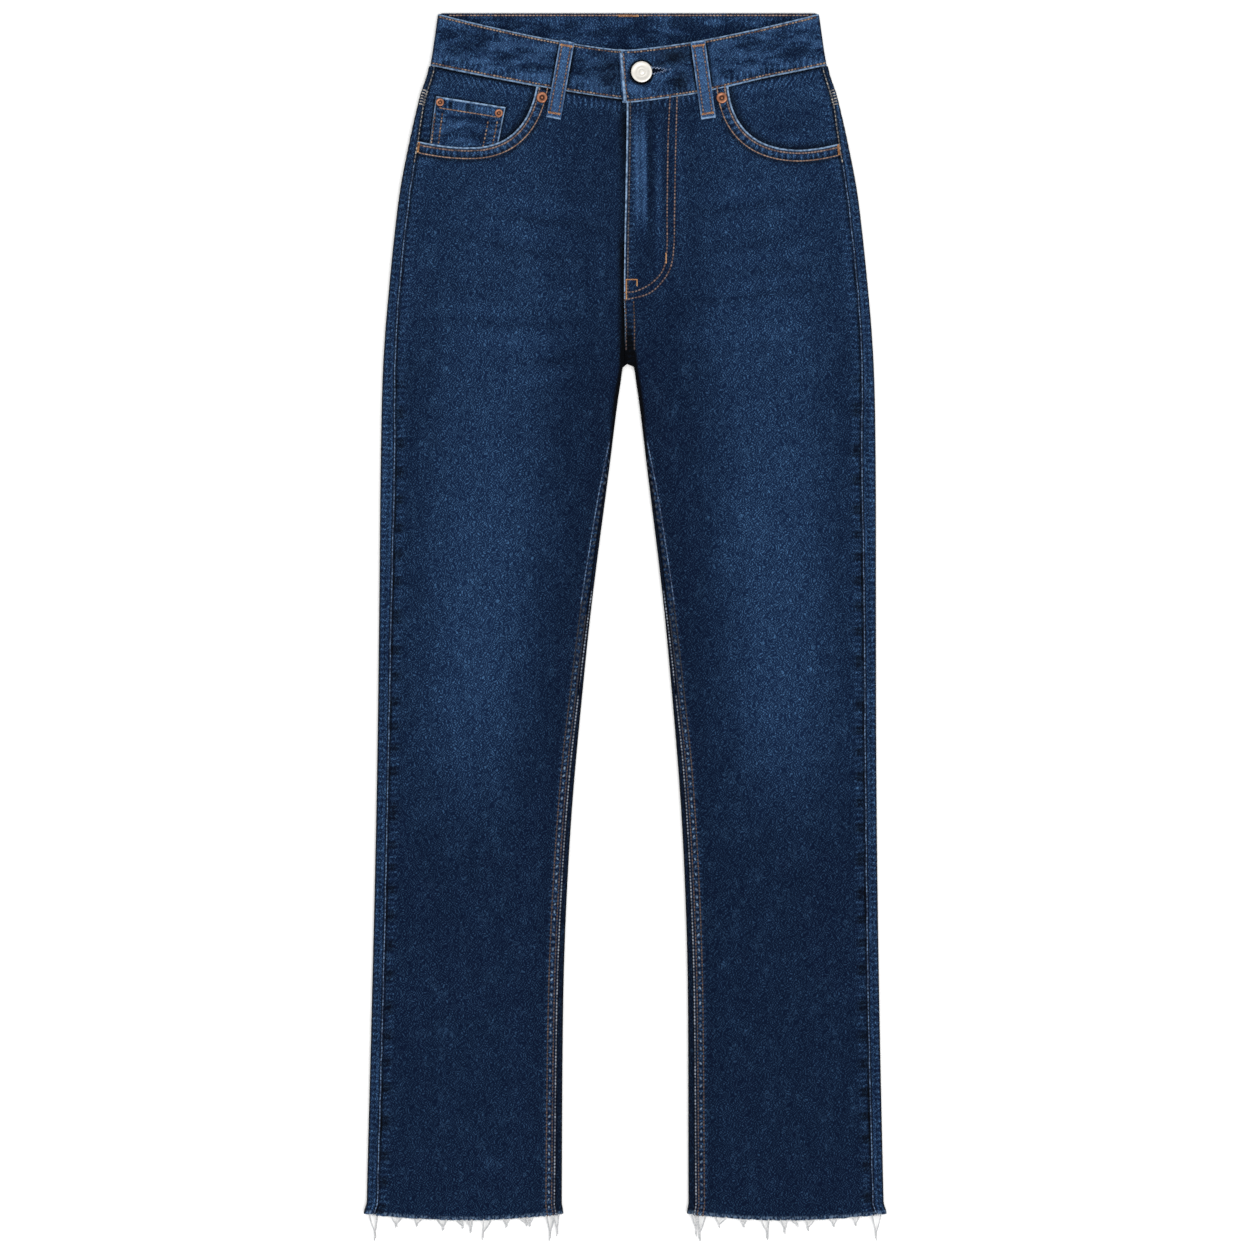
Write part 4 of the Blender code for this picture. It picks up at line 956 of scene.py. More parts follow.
# %% Pocket facings and coin pocket
def pocket_facing(side):
    low_share, across = np.meshgrid(np.linspace(0, 1, 104), np.linspace(0, 1, 120), indexing="ij")
    low = mix(BAND_SIDE_DEPTH + 0.001, FACING_DEPTH, low_share)
    out = mix(FACING_INNER, front_outer_edge(low), across)
    top = front_band_seam(out) + GAP
    down = mix(top, FACING_DEPTH, low_share)
    from_mouth, mouth_run = distance_to(mouth_line(side), out, down)
    from_waist, from_side = down - top, front_outer_edge(down) - out
    relief = 0.00014 * puckers(out, 0.0068, 70 + side) * seam_band(from_waist, 0.0010, 0.0110)
    relief = relief + 0.00016 * puckers(down, 0.0072, 73) * seam_band(from_side, 0.0010, 0.0080)
    relief = relief + 0.00014 * wobble(down, 0.012, 74) * wobble(out, 0.010, 75)
    height = front_height(side, out, down) - FACING_DROP[side] + np.minimum(relief, 0.00022)
    ease = 0.45 + 0.35 * wobble(out, 0.019, 76)
    seams = (Seam(from_waist, out + 5 + 0.6 * from_waist, ease, 0.0), Seam(from_side, down + 3, 0.35, 0.35))
    marks = nearest_seam(seams, out.shape)
    marks["fade"] = 0.62 + 0.5 * wobble(out + 0.4 * down, 0.017, 77) * wobble(down, 0.011, 78)
    # Painted shade under the mouth edge, under the band, beside the outseam and round the coin pocket.
    dark = [0.72 * fading(0.0005, 0.0085, from_mouth), 0.95 * peak(from_waist, 0.0002, 0.0016)]
    dark.append(0.80 * peak(from_side, 0.0018, 0.0011))
    if side == RIGHT:
        corners = np.array([COIN_LOW_IN, COIN_TOP_IN, COIN_TOP_OUT, COIN_LOW_OUT])
        dark.append(0.85 * peak(distance_to(corners, out, down)[0], 0, 0.0016))
    marks["shade"] = np.max(dark, axis=0)
    return cloth("facing_" + SIDE_WORD[side], place(side, out, down, height), side == LEFT, marks)


def coin_pocket():
    low, across = np.meshgrid(np.linspace(0, 1, 60), np.linspace(0, 1, 70), indexing="ij")
    inner = [mix(a, b, low) for a, b in zip(COIN_TOP_IN, COIN_LOW_IN)]
    outer = [mix(a, b, low) for a, b in zip(COIN_TOP_OUT, COIN_LOW_OUT)]
    out, down = (mix(a, b, across) for a, b in zip(inner, outer))
    width, length = 0.0605, 0.055
    from_top, from_in, from_out = low * length, across * width, (1 - across) * width
    from_edge = np.minimum(from_in, from_out)
    turned = fading(0.0105, 0.0114, from_top)
    relief = 0.00020 * turned + 0.00010 * puckers(out, 0.0052, 80) * seam_band(from_top, 0.0020, 0.0100)
    relief = relief + 0.00010 * puckers(down, 0.0056, 82) * seam_band(from_edge, 0.0015, 0.0080)
    relief = relief * smooth_step(0.0, 0.0012, np.minimum(from_top, from_edge))
    seams = (
        Seam(from_top, out + 2, 0.7, 1.0),
        Seam(from_in, down + 1, 0.9, 0.60),
        Seam(from_out, down + 2, 0.9, 0.55),
    )
    height = front_height(RIGHT, out, down) - LAYER + relief
    marks = nearest_seam(seams, out.shape)
    marks["fade"] = 1.02 + (0.10 + 0.9 * wobble(out, 0.0045, 83)) * turned
    blotch = smooth_step(0.1, 0.7, wobble(out, 0.0050, 84))
    marks["shade"] = 0.60 * turned * blotch * seam_band(from_top, 0.0030, 0.0088)
    return cloth("small_coin_pocket", place(RIGHT, out, down, height), False, marks)


facings = {side: pocket_facing(side) for side in (RIGHT, LEFT)}
coin = coin_pocket()
print("the coin pocket has", len(coin.data.polygons), "faces")

# %% [markdown]
# ## Belt loops
#
# A loop is a strip folded to three layers, with a row of stitches along each edge. Both ends are turned
# under and tacked down, and a shallow groove marks each tack.


# %% Belt loops
def loop_base(side, out, down):
    on_band = fading(0.0, 0.003, down - front_band_seam(out))
    return mix(front_height(side, out, down), band_height(side, out, down), on_band)


LOOP_ROW_INSET = 0.0027


def loop_axes(side):
    """The two ends of a loop in plan, its direction, and the direction across it."""
    top, low = (np.array(end) for end in LOOP_ENDS[side])
    direction = (low - top) / np.linalg.norm(low - top)
    return top, low, direction, np.array([direction[1], -direction[0]])


def belt_loop(side):
    top, low, direction, _ = loop_axes(side)
    length = np.linalg.norm(low - top)
    along, across = np.meshgrid(np.linspace(0, 1, 60), np.linspace(-0.5, 0.5, 15), indexing="ij")
    out = mix(top[0], low[0], along) + direction[1] * LOOP_WIDTH * across
    down = mix(top[1], low[1], along) - direction[0] * LOOP_WIDTH * across
    from_end, from_side = np.minimum(along, 1 - along) * length, (0.5 - np.abs(across)) * LOOP_WIDTH
    dome = 0.00030 * (1 - (2 * across) ** 4) * smooth_step(0.0, 0.002, from_end)
    groove = -0.00025 * peak(from_side, LOOP_ROW_INSET, 0.0006)
    tack = -0.00045 * peak(from_end, 0.0042, 0.0011)
    ripple = 0.00010 * puckers(along * length, 0.0058, 90 + side) * seam_band(from_side, 0.0008, 0.0045)
    height = loop_base(side, out, down) + GAP + LOOP_WALL + dome + groove + tack + ripple
    worn = 0.55 + 0.35 * wobble(along * length, 0.006, 94 + side)
    seams = (Seam(from_side, along * length, 0.35, worn), Seam(from_end, out, 0.4, 1.1))
    marks = nearest_seam(seams, out.shape) | {"fade": 2.8}
    points = place(side, out, down, height)
    return cloth("strip_loop_" + SIDE_WORD[side], points, side == LEFT, marks, wall=LOOP_WALL, rounded=0.0006)


loops = {side: belt_loop(side) for side in (RIGHT, LEFT)}
print("a loop is", LOOP_WIDTH * 1000, "mm wide")

# %% [markdown]
# ## Button and rivets
#
# All five are turned metal parts, so each is one profile spun about its axis. The button is a shank, a
# dished cap and a rolled rim. A rivet is a copper ring with the cut end of its nail in the middle.


# %% Button and rivets
def turned(name, profile, steps, centre, depth):
    """A closed solid from a (radius, height) profile that runs down its outside from pole to pole."""
    rings, angles = profile[1:-1], np.arange(steps) * 2 * math.pi / steps
    points = [(r * math.cos(a), r * math.sin(a), h) for r, h in rings for a in angles]
    faces = []
    for ring in range(len(rings) - 1):
        for i in range(steps):
            a, b = ring * steps + i, ring * steps + (i + 1) % steps
            faces.append((a, a + steps, b + steps, b))
    points += [(0, 0, profile[0][1]), (0, 0, profile[-1][1])]
    last = (len(rings) - 1) * steps
    for i in range(steps):
        j = (i + 1) % steps
        faces += [(len(points) - 2, i, j), (len(points) - 1, last + j, last + i)]
    mesh = bpy.data.meshes.new(name)
    mesh.from_pydata([tuple(Vector(point) + centre) for point in points], [], faces)
    # recess, 0 at the top and 1 at this depth below it, sets the metal's painted shade.
    top = max(height for _, height in profile)
    recess = mesh.attributes.new("recess", "FLOAT", "POINT")
    recess.data.foreach_set("value", [min(1.0, (top - point[2]) / depth) for point in points])
    mesh.shade_smooth()
    mesh.set_sharp_from_angle(angle=math.radians(48))
    return linked(name, mesh)


def rings(pairs, radius):
    return [(share * radius, height) for share, height in pairs]


seat = float(band_height(LEFT, BUTTON_OUT, BUTTON_DOWN)) + GAP
button_profile = rings(
    (
        (0, 0.00258), (0.10, 0.00258), (0.17, 0.00253), (0.21, 0.00238), (0.25, 0.00226), (0.33, 0.00226),
        (0.37, 0.00236), (0.43, 0.00236), (0.47, 0.00226), (0.60, 0.00230), (0.66, 0.00238), (0.72, 0.00252),
        (0.79, 0.00264), (0.87, 0.00268), (0.94, 0.00257), (0.985, 0.00228), (1.0, 0.00190), (0.985, 0.00150),
        (0.94, 0.00118), (0.88, 0.00100), (0.46, 0.00090), (0.42, 0.00080), (0.42, 0.0), (0, 0.0),
    ),
    BUTTON_RADIUS,
)
button_foot = Vector(place(LEFT, BUTTON_OUT, BUTTON_DOWN, seat))
button = turned("shank_button", button_profile, 72, button_foot, 0.0016)

RIVET_PROFILE = (
    (0, 0.00100), (0.10, 0.00098), (0.17, 0.00086), (0.21, 0.00058), (0.27, 0.00042), (0.38, 0.00044),
    (0.50, 0.00062), (0.62, 0.00088), (0.74, 0.00102), (0.86, 0.00092), (0.95, 0.00062), (1.0, 0.00028),
    (1.0, 0.0), (0, 0.0),
)
rivets = {}
for side, (out, down) in POCKET_RIVETS.items():
    name = "mouth_rivet_" + SIDE_WORD[side]
    foot = float(front_height(side, out, down)) + GAP
    rivets["pocket_rivet_" + SIDE_WORD[side]] = turned(
        name, rings(RIVET_PROFILE, 0.0049), 36, Vector(place(side, out, down, foot)), 0.0006
    )
for word, (out, down) in zip(("outer", "inner"), COIN_RIVETS):
    foot = float(front_height(RIGHT, out, down)) - LAYER + GAP
    rivets["coin_rivet_" + word] = turned(
        "small_rivet_" + word, rings(RIVET_PROFILE, 0.0037), 30, Vector(place(RIGHT, out, down, foot)), 0.0006
    )
print("made a button and", len(rivets), "rivets")

# %% [markdown]
# ## Node trees in script
#
# Stitches, tacks and frayed threads repeat along a path, so each kind is one Geometry Nodes tree. A small
# class keeps the script short: it adds a node with its settings and inputs, and turns arithmetic on sockets
# into Math nodes. The materials further on use it too.


# %% Sockets as values
def feed(tree, slot, value):
    """Sets a socket to a number, a colour or a vector, or links a wire into it."""
    if isinstance(value, Wire):
        tree.links.new(value.socket, slot)
    elif value is not None:
        slot.default_value = value


class Wire:
    """An output socket. Arithmetic on it adds Math nodes."""

    def __init__(self, tree, socket):
        self.tree, self.socket = tree, socket

    def math(self, operation, *values, first=None):
        node = self.tree.nodes.new("ShaderNodeMath")
        node.operation = operation
        for slot, value in zip(node.inputs, (self if first is None else first, *values)):
            feed(self.tree, slot, value)
        return Wire(self.tree, node.outputs[0])

    def __add__(self, other):
        return self.math("ADD", other)

    def __mul__(self, other):
        return self.math("MULTIPLY", other)

    def __sub__(self, other):
        return self.math("SUBTRACT", other)

    def __rsub__(self, other):
        return self.math("SUBTRACT", self, first=other)

    def __truediv__(self, other):
        return self.math("DIVIDE", other)

    def __pow__(self, other):
        return self.math("POWER", other)

    __radd__, __rmul__ = __add__, __mul__

    def clamp(self):
        return self.math("MULTIPLY", 1.0).math("MAXIMUM", 0.0).math("MINIMUM", 1.0)

    def step(self, start, end):
        """0 up to start, 1 past end, with a smooth step between. end may be the lower one."""
        node = self.tree.nodes.new("ShaderNodeMapRange")
        node.interpolation_type = "SMOOTHSTEP"
        falls = end < start
        values = (self, min(start, end), max(start, end), float(falls), float(not falls))
        for slot, value in zip(node.inputs, values):
            feed(self.tree, slot, value)
        return Wire(self.tree, node.outputs[0])


class Nodes:
    """A node tree under construction."""

    def __init__(self, tree):
        self.tree = tree

    def add(self, kind, settings=None, output=0, **inputs):
        """Adds a node. An input is named by its label with _ for a space, or by its number as _2."""
        node = self.tree.nodes.new(kind)
        for name, value in (settings or {}).items():
            setattr(node, name, value)
        for name, value in inputs.items():
            slot = node.inputs[int(name[1:])] if name[0] == "_" else node.inputs[name.replace("_", " ")]
            feed(self.tree, slot, value)
        return Wire(self.tree, node.outputs[output])

    def vector(self, operation, output=0, **inputs):
        return self.add("ShaderNodeVectorMath", {"operation": operation}, output, **inputs)


class Recipe(Nodes):
    """A Geometry Nodes tree with named sizes as inputs."""

    def __init__(self, name, material, sizes):
        super().__init__(bpy.data.node_groups.new(name, "GeometryNodeTree"))
        self.material, face = material, self.tree.interface
        face.new_socket("Geometry", in_out="INPUT", socket_type="NodeSocketGeometry")
        face.new_socket("Geometry", in_out="OUTPUT", socket_type="NodeSocketGeometry")
        for label, value in sizes.items():
            kind = "NodeSocketInt" if isinstance(value, int) else "NodeSocketFloat"
            face.new_socket(label, in_out="INPUT", socket_type=kind).default_value = value
        self.given = self.tree.nodes.new("NodeGroupInput")
        self.end = self.tree.nodes.new("NodeGroupOutput")

    def size(self, label):
        return Wire(self.tree, self.given.outputs[label])

    def path(self):
        """The given edges as curves."""
        return self.add("GeometryNodeMeshToCurve", Mesh=Wire(self.tree, self.given.outputs[0]))

    def stepped(self, kind, step):
        """The node that cuts the given path at even steps of a named size."""
        node = self.tree.nodes.new(kind)
        node.mode = "LENGTH"
        feed(self.tree, node.inputs["Curve"], self.path())
        feed(self.tree, node.inputs["Length"], self.size(step))
        return node

    def tube(self, curve, sides):
        """A tube as thick as the thread along a curve."""
        radius = self.size("Thread") * 0.5
        ring = self.add("GeometryNodeCurvePrimitiveCircle", Resolution=sides, Radius=radius)
        return self.add("GeometryNodeCurveToMesh", Curve=curve, Profile_Curve=ring, Fill_Caps=True)

    def random(self, low, high, seed):
        settings = {"data_type": "FLOAT"}
        return self.add("FunctionNodeRandomValue", settings, output=1, _2=low, _3=high, Seed=seed)

    def random_vector(self, low, high, seed, **inputs):
        settings = {"data_type": "FLOAT_VECTOR"}
        return self.add("FunctionNodeRandomValue", settings, Min=low, Max=high, Seed=seed, **inputs)

    def copies(self, points, shape, turn, scale):
        """Copies of a shape on the points of a node."""
        places = Wire(self.tree, points.outputs["Points"])
        kind = "GeometryNodeInstanceOnPoints"
        return self.add(kind, Points=places, Instance=shape, Rotation=turn, Scale=scale)

    def finish(self, geometry):
        real = self.add("GeometryNodeRealizeInstances", Geometry=geometry)
        done = self.add("GeometryNodeSetMaterial", Geometry=real, Material=self.material)
        feed(self.tree, self.end.inputs[0], done)


def follow(name, paths, recipe, **sizes):
    """Runs a recipe along open paths of points and returns the plain mesh object."""
    points = [tuple(point) for path in paths for point in path]
    edges, first = [], 0
    for path in paths:
        edges += [(first + i, first + i + 1) for i in range(len(path) - 1)]
        first += len(path)
    mesh = bpy.data.meshes.new(name + "_path")
    mesh.from_pydata(points, edges, [])
    guide = linked(name + "_path", mesh)
    steps = guide.modifiers.new(name, "NODES")
    steps.node_group = recipe.tree
    for item in recipe.tree.interface.items_tree:
        if item.in_out == "INPUT" and item.name in sizes:
            steps[item.identifier] = sizes[item.name]
    return plain_mesh(guide, name)


# %% [markdown]
# ## Where the thread lies
#
# Every seam path is first drawn in plan, from the garment's measures, and then dropped straight down on
# whatever cloth lies on top there. So a row that crosses from a panel onto the waistband climbs the step.

# %% Paths on the cloth
from mathutils.bvhtree import BVHTree

DROP_HEIGHT, COVERED_BY = 0.05, 0.0002
TOP_CLOTH = [*fronts.values(), *backs.values(), *yokes.values(), band, *facings.values(), coin]


def surface_of(pieces):
    points, faces = [], []
    for piece in pieces:
        first = len(points)
        points += [vertex.co.copy() for vertex in piece.data.vertices]
        faces += [[first + i for i in polygon.vertices] for polygon in piece.data.polygons]
    return BVHTree.FromPolygons(points, faces)


cloth_surface = surface_of(TOP_CLOTH)
loop_surface, coin_surface = surface_of(loops.values()), surface_of([coin])


def dropped(points, lift, only=None):
    """The world points moved onto the cloth below them, or onto one surface, where nothing covers it."""
    laid = []
    for point in points:
        above, down = Vector((point[0], point[1], DROP_HEIGHT)), Vector((0, 0, -1))
        hit = cloth_surface.ray_cast(above, down)[0]
        if only is not None:
            own = only.ray_cast(above, down)[0]
            hit = own if own is not None and (hit is None or hit.z < own.z + COVERED_BY) else None
        if hit is not None:
            laid.append(hit + Vector((0, 0, lift)))
    return laid


def smooth_line(corners, spacing=0.0012):
    """A smooth line through a few corners, as close points."""
    corners = np.array(corners, float)
    padded = np.concatenate([2 * corners[:1] - corners[1:2], corners, 2 * corners[-1:] - corners[-2:-1]])
    line = []
    for a, b, c, d in zip(padded[:-3], padded[1:-2], padded[2:-1], padded[3:]):
        t = np.linspace(0, 1, max(3, int(np.linalg.norm(c - b) / spacing)), endpoint=False)[:, None]
        square, cube = (2 * a - 5 * b + 4 * c - d) * t**2, (3 * b - a - 3 * c + d) * t**3
        line.append(0.5 * (2 * b + (c - a) * t + square + cube))
    return np.concatenate([*line, corners[-1:]])


def in_plan(out, down):
    """A line of (out, down) from the two measures."""
    return np.stack(np.broadcast_arrays(out, down), axis=1)


def row_on(side, line, lift=0.00008, only=None):
    """A stitch row on this side from a line of (out, down)."""
    line = np.asarray(line)
    return dropped(place(side, line[:, 0], line[:, 1], 0.0), lift, only)


print("rows are dropped on", len(TOP_CLOTH), "pieces")

# %% [markdown]
# ## Topstitching
#
# Denim is sewn with thick thread, so each stitch reads as its own short bead, with painted shade on its rim
# where it sinks into the cloth. One tree puts a bead at every step of a path, turned along it, with a little
# unevenness. A bar tack is another tree, a dense zigzag across a short path.

# %% Recipe for a row of stitches
def stitch_recipe(name, material):
    recipe = Recipe(name, material, {"Pitch": 0.0034, "Length": 0.0025, "Thread": 0.00062, "Uneven": 0.10})
    points = recipe.stepped("GeometryNodeCurveToPoints", "Pitch")
    bead = recipe.add("GeometryNodeMeshUVSphere", Segments=6, Rings=4, Radius=0.5)
    # rim is 1 round the bead's sides and ends and 0 on its top; the thread paints shade there.
    height = recipe.add("ShaderNodeSeparateXYZ", output=2, Vector=recipe.add("GeometryNodeInputPosition"))
    bead = recipe.add(
        "GeometryNodeStoreNamedAttribute", {"data_type": "FLOAT", "domain": "POINT"},
        Geometry=bead, Name="rim", Value=1 - height.math("ABSOLUTE") * 2,
    )
    thick = recipe.size("Thread")
    shape = recipe.add("ShaderNodeCombineXYZ", X=recipe.size("Length"), Y=thick, Z=thick * 0.60)
    bead = recipe.add("GeometryNodeTransform", Geometry=bead, Scale=shape)
    tangent = Wire(recipe.tree, points.outputs["Tangent"])
    along = recipe.add("FunctionNodeAlignRotationToVector", {"axis": "X"}, Vector=tangent)
    turn = recipe.add("ShaderNodeCombineXYZ", Z=recipe.random(-1.0, 1.0, 4) * recipe.size("Uneven"))
    local = {"rotation_space": "LOCAL"}
    spin = recipe.add("FunctionNodeRotateRotation", local, Rotation=along, Rotate_By=turn)
    recipe.finish(recipe.copies(points, bead, spin, recipe.random(0.86, 1.12, 9)))
    return recipe


# %% Recipe for a bar tack
def tack_recipe(name, material):
    """A dense zigzag across a short path."""
    recipe = Recipe(name, material, {"Step": 0.00050, "Width": 0.0020, "Thread": 0.00070})
    even = recipe.stepped("GeometryNodeResampleCurve", "Step")
    hand = recipe.add("GeometryNodeInputIndex").math("MODULO", 2.0) - 0.5
    tangent = recipe.add("GeometryNodeInputTangent")
    sideways = recipe.vector("CROSS_PRODUCT", _0=tangent, _1=(0, 0, 1))
    shift = recipe.vector("SCALE", _0=sideways, Scale=hand * recipe.size("Width"))
    zigzag = recipe.add("GeometryNodeSetPosition", Geometry=Wire(recipe.tree, even.outputs[0]), Offset=shift)
    recipe.finish(recipe.tube(zigzag, 5))
    return recipe


# %% [markdown]
# ## Denim
#
# Indigo sits only on the outside of each warp thread, so rubbing bares a paler core. That gives denim its
# look: a dark ground with fine pale specks in wandering diagonals, pale lines on every folded edge, and a
# ladder of light and dark where a seam puckers. The material reads the mesh's own attributes for the seams
# and Object coordinates for the specks.

# %% Denim material
class Finish(Nodes):
    """A material under construction."""

    def __init__(self, name):
        self.material = bpy.data.materials.new(name)
        self.material.use_nodes = True
        super().__init__(self.material.node_tree)
        self.shader = self.tree.nodes["Principled BSDF"]
        self.here = self.add("ShaderNodeTexCoord", output=3)

    def read(self, label):
        return self.add("ShaderNodeAttribute", {"attribute_name": label}, output=2)

    def stretched(self, x, y, z):
        return self.vector("MULTIPLY", _0=self.here, _1=(x, y, z))

    def noise(self, vector, detail=2.0, roughness=0.5, distortion=0.0):
        sizes = {"Scale": 1.0, "Detail": detail, "Roughness": roughness, "Distortion": distortion}
        return self.add("ShaderNodeTexNoise", Vector=vector, **sizes)

    def wave(self, angle, pitch, drift):
        """Soft stripes of this pitch, square to this angle, pushed about by a drift in turns."""
        turn, rate = math.radians(angle), 2 * math.pi / pitch
        across = (rate * math.cos(turn), rate * math.sin(turn), rate * 0.6)
        phase = self.vector("DOT_PRODUCT", output=1, _0=self.here, _1=across)
        return (phase + drift * (2 * math.pi)).math("SINE") * 0.5 + 0.5

    def blend(self, factor, a, b, kind="MIX"):
        node = self.tree.nodes.new("ShaderNodeMix")
        node.data_type, node.blend_type = "RGBA", kind
        for slot, value in ((0, factor), (6, a), (7, b)):
            feed(self.tree, node.inputs[slot], value)
        return Wire(self.tree, node.outputs[2])

    def set(self, **inputs):
        for name, value in inputs.items():
            feed(self.tree, self.shader.inputs[name.replace("_", " ")], value)
        return self.material

    def bump(self, height, distance, strength=1.0):
        return self.add("ShaderNodeBump", Height=height, Distance=distance, Strength=strength)


DEEP, OPEN = (0.0010, 0.0049, 0.0192, 1), (0.0036, 0.0118, 0.0385, 1)
SOFT, PALE, BARE = (0.031, 0.070, 0.163, 1), (0.059, 0.146, 0.290, 1), (0.280, 0.420, 0.620, 1)


def denim(name, wear, mottle, streak):
    """wear is how pale the folded edges have rubbed, mottle how blotchy the wash is, and streak its grain."""
    look = Finish(name)
    labels = ("edge", "run", "rope", "pale", "hem", "fade", "shade")
    edge, run, rope, pale, hem, fade, painted_shade = (look.read(label) for label in labels)

    # The twill's pale specks in wandering diagonals, soft blotches, and stray pale fibres.
    drift = look.noise(look.stretched(190, 165, 180), 1.5) * 4.2
    other = look.noise(look.stretched(140, 185, 170), 1.5) * 4.2
    speck = (look.wave(40, 0.00195, drift) * look.wave(-38, 0.00218, other)).step(0.04, 0.92)
    bright = look.noise(look.stretched(320, 270, 290), 2.0).step(0.30, 0.72)
    cloud = look.noise(look.stretched(*streak), 3.0, 0.6).step(0.25, 0.75) - 0.5
    curl = look.noise(look.stretched(170, 120, 150), 1.0, 0.5, 1.6)
    fibre = 1 - ((curl - 0.5).math("ABSOLUTE") * 24).clamp()
    fibre = fibre * look.noise(look.stretched(95, 70, 80), 1.0).step(0.54, 0.66)

    # Wear: pale folded edges, puckers between stitch rows, and a raw hem.
    uneven = look.noise(look.stretched(330, 330, 330), 3.0, 0.6).step(0.34, 0.62) * 0.72 + 0.28
    line = (edge / (pale * 0.7 + 0.3)).step(0.0019, 0.0008) * uneven * pale.clamp() * wear
    turns = run * (2 * math.pi / 0.0050) + look.noise(look.stretched(75, 75, 75), 1.0) * 9
    beat = turns.math("SINE") * 0.5 + 0.5
    ladder = (beat ** 3) * edge.step(0.0014, 0.0034) * edge.step(0.0125, 0.0080) * rope
    hollow = edge.step(0.0012, 0.0020) * edge.step(0.0046, 0.0030) * rope
    frayed = hem.step(0.0042, 0.0018) * look.noise(look.stretched(620, 300, 300), 3.0, 0.6).step(0.42, 0.64)

    washed = (fade + ladder * 1.1 - hollow * 0.5 + cloud * mottle).math("MAXIMUM", 0.0)
    over = (washed - 1.0).math("MAXIMUM", 0.0)
    ground = look.blend((over * 0.32 + ladder * 0.40).clamp(), look.blend(washed.clamp(), DEEP, OPEN), SOFT)
    amount = washed.clamp() * 0.44 + over * 0.30 + 0.255 + ladder * 0.80
    tone = look.blend((speck * (bright * 0.65 + 0.35) * amount + fibre * 0.15).clamp(), ground, PALE)
    # The shade mark darkens the colour: mostly painted shade in seams, folds and hollows.
    shaded = look.vector("SCALE", _0=tone, Scale=1 - painted_shade)
    colour = look.blend((line + frayed * 0.26).clamp(), shaded, BARE)

    height = speck * 0.5 + bright * 0.3 + ladder * 0.6
    return look.set(
        Base_Color=colour, Roughness=0.94 - fibre * 0.05, Normal=look.bump(height, 0.00030, 0.5),
        Sheen_Weight=0.02, Sheen_Roughness=0.5, Specular_IOR_Level=0.06,
    )


denim_look = denim("indigo_denim", 0.80, 0.30, (75, 42, 60))
band_look = denim("indigo_denim_band", 0.85, 3.0, (46, 120, 90))
loop_look = denim("indigo_denim_loop", 0.75, 1.2, (75, 60, 60))


# %% [markdown]
# ## Thread, fray and metal
#
# The threads have aged apart: tan, rust and gold on the fly and the pockets, cream and pale blue along the
# outseams, white, brown and dim ones in the inseams; the dim tan is darkened as painted shade. Each stitch
# bead has painted shade on its rim, and metal has painted shade in its recesses.

# %% Thread, fray and metal
def thread(name, colour, other, darkens_from=None):
    """Twisted thread, with painted shade on each bead's rim. Given a level, it darkens to deep blue up the
    leg from there.
    """
    look = Finish(name)
    twist = look.noise(look.stretched(900, 900, 900), 2.0)
    blotch = look.noise(look.stretched(230, 230, 230), 2.0).step(0.40, 0.60)
    tint = look.blend(blotch, (*colour, 1), (*other, 1))
    shaded = look.blend(twist.step(0.3, 0.7), look.blend(0.30, tint, (0.01, 0.01, 0.015, 1)), tint)
    if darkens_from is not None:
        height = look.add("ShaderNodeSeparateXYZ", output=1, Vector=look.here)
        shaded = look.blend(height.step(darkens_from, darkens_from + 0.14) * 0.86, shaded, (0.012, 0.018, 0.032, 1))
    # Painted shade round each bead's rim, where it sinks into the cloth.
    shaded = look.blend(look.read("rim").step(0.14, 0.42) * 0.94, shaded, (0.0030, 0.0040, 0.0080, 1))
    return look.set(
        Base_Color=shaded, Specular_IOR_Level=0.2, Roughness=0.75, Normal=look.bump(twist, 0.00015, 0.8),
        Sheen_Weight=0.1,
    )


def metal(name, colour, dark, roughness):
    look = Finish(name)
    stain = look.noise(look.stretched(260, 260, 260), 3.0)
    tint = look.blend(stain.step(0.35, 0.75), (*colour, 1), (*dark, 1))
    # Painted shade, deeper the further a point lies below the top.
    tint = look.blend(look.read("recess") ** 1.5 * 0.93, tint, (0.012, 0.009, 0.010, 1))
    brushed = look.noise(look.stretched(1800, 300, 900), 2.0)
    return look.set(
        Base_Color=tint, Metallic=1.0, Roughness=roughness + stain * 0.12,
        Normal=look.bump(brushed, 0.00005, 0.4),
    )


tan_thread = thread("tan_thread", (0.245, 0.168, 0.146), (0.105, 0.062, 0.060))
rust_thread = thread("rust_thread", (0.320, 0.225, 0.170), (0.070, 0.034, 0.032))
gold_thread = thread("gold_thread", (0.350, 0.228, 0.170), (0.190, 0.115, 0.088))
orange_thread = thread("orange_thread", (0.78, 0.42, 0.17), (0.58, 0.27, 0.10))
silver_thread = thread("silver_thread", (0.120, 0.210, 0.370), (0.026, 0.054, 0.120))
white_thread = thread("white_thread", (0.25, 0.285, 0.35), (0.080, 0.100, 0.140))
cream_thread = thread("cream_thread", (0.46, 0.43, 0.39), (0.150, 0.145, 0.150))
bead_thread = thread("bead_thread", (0.155, 0.235, 0.350), (0.050, 0.088, 0.160), -0.12)
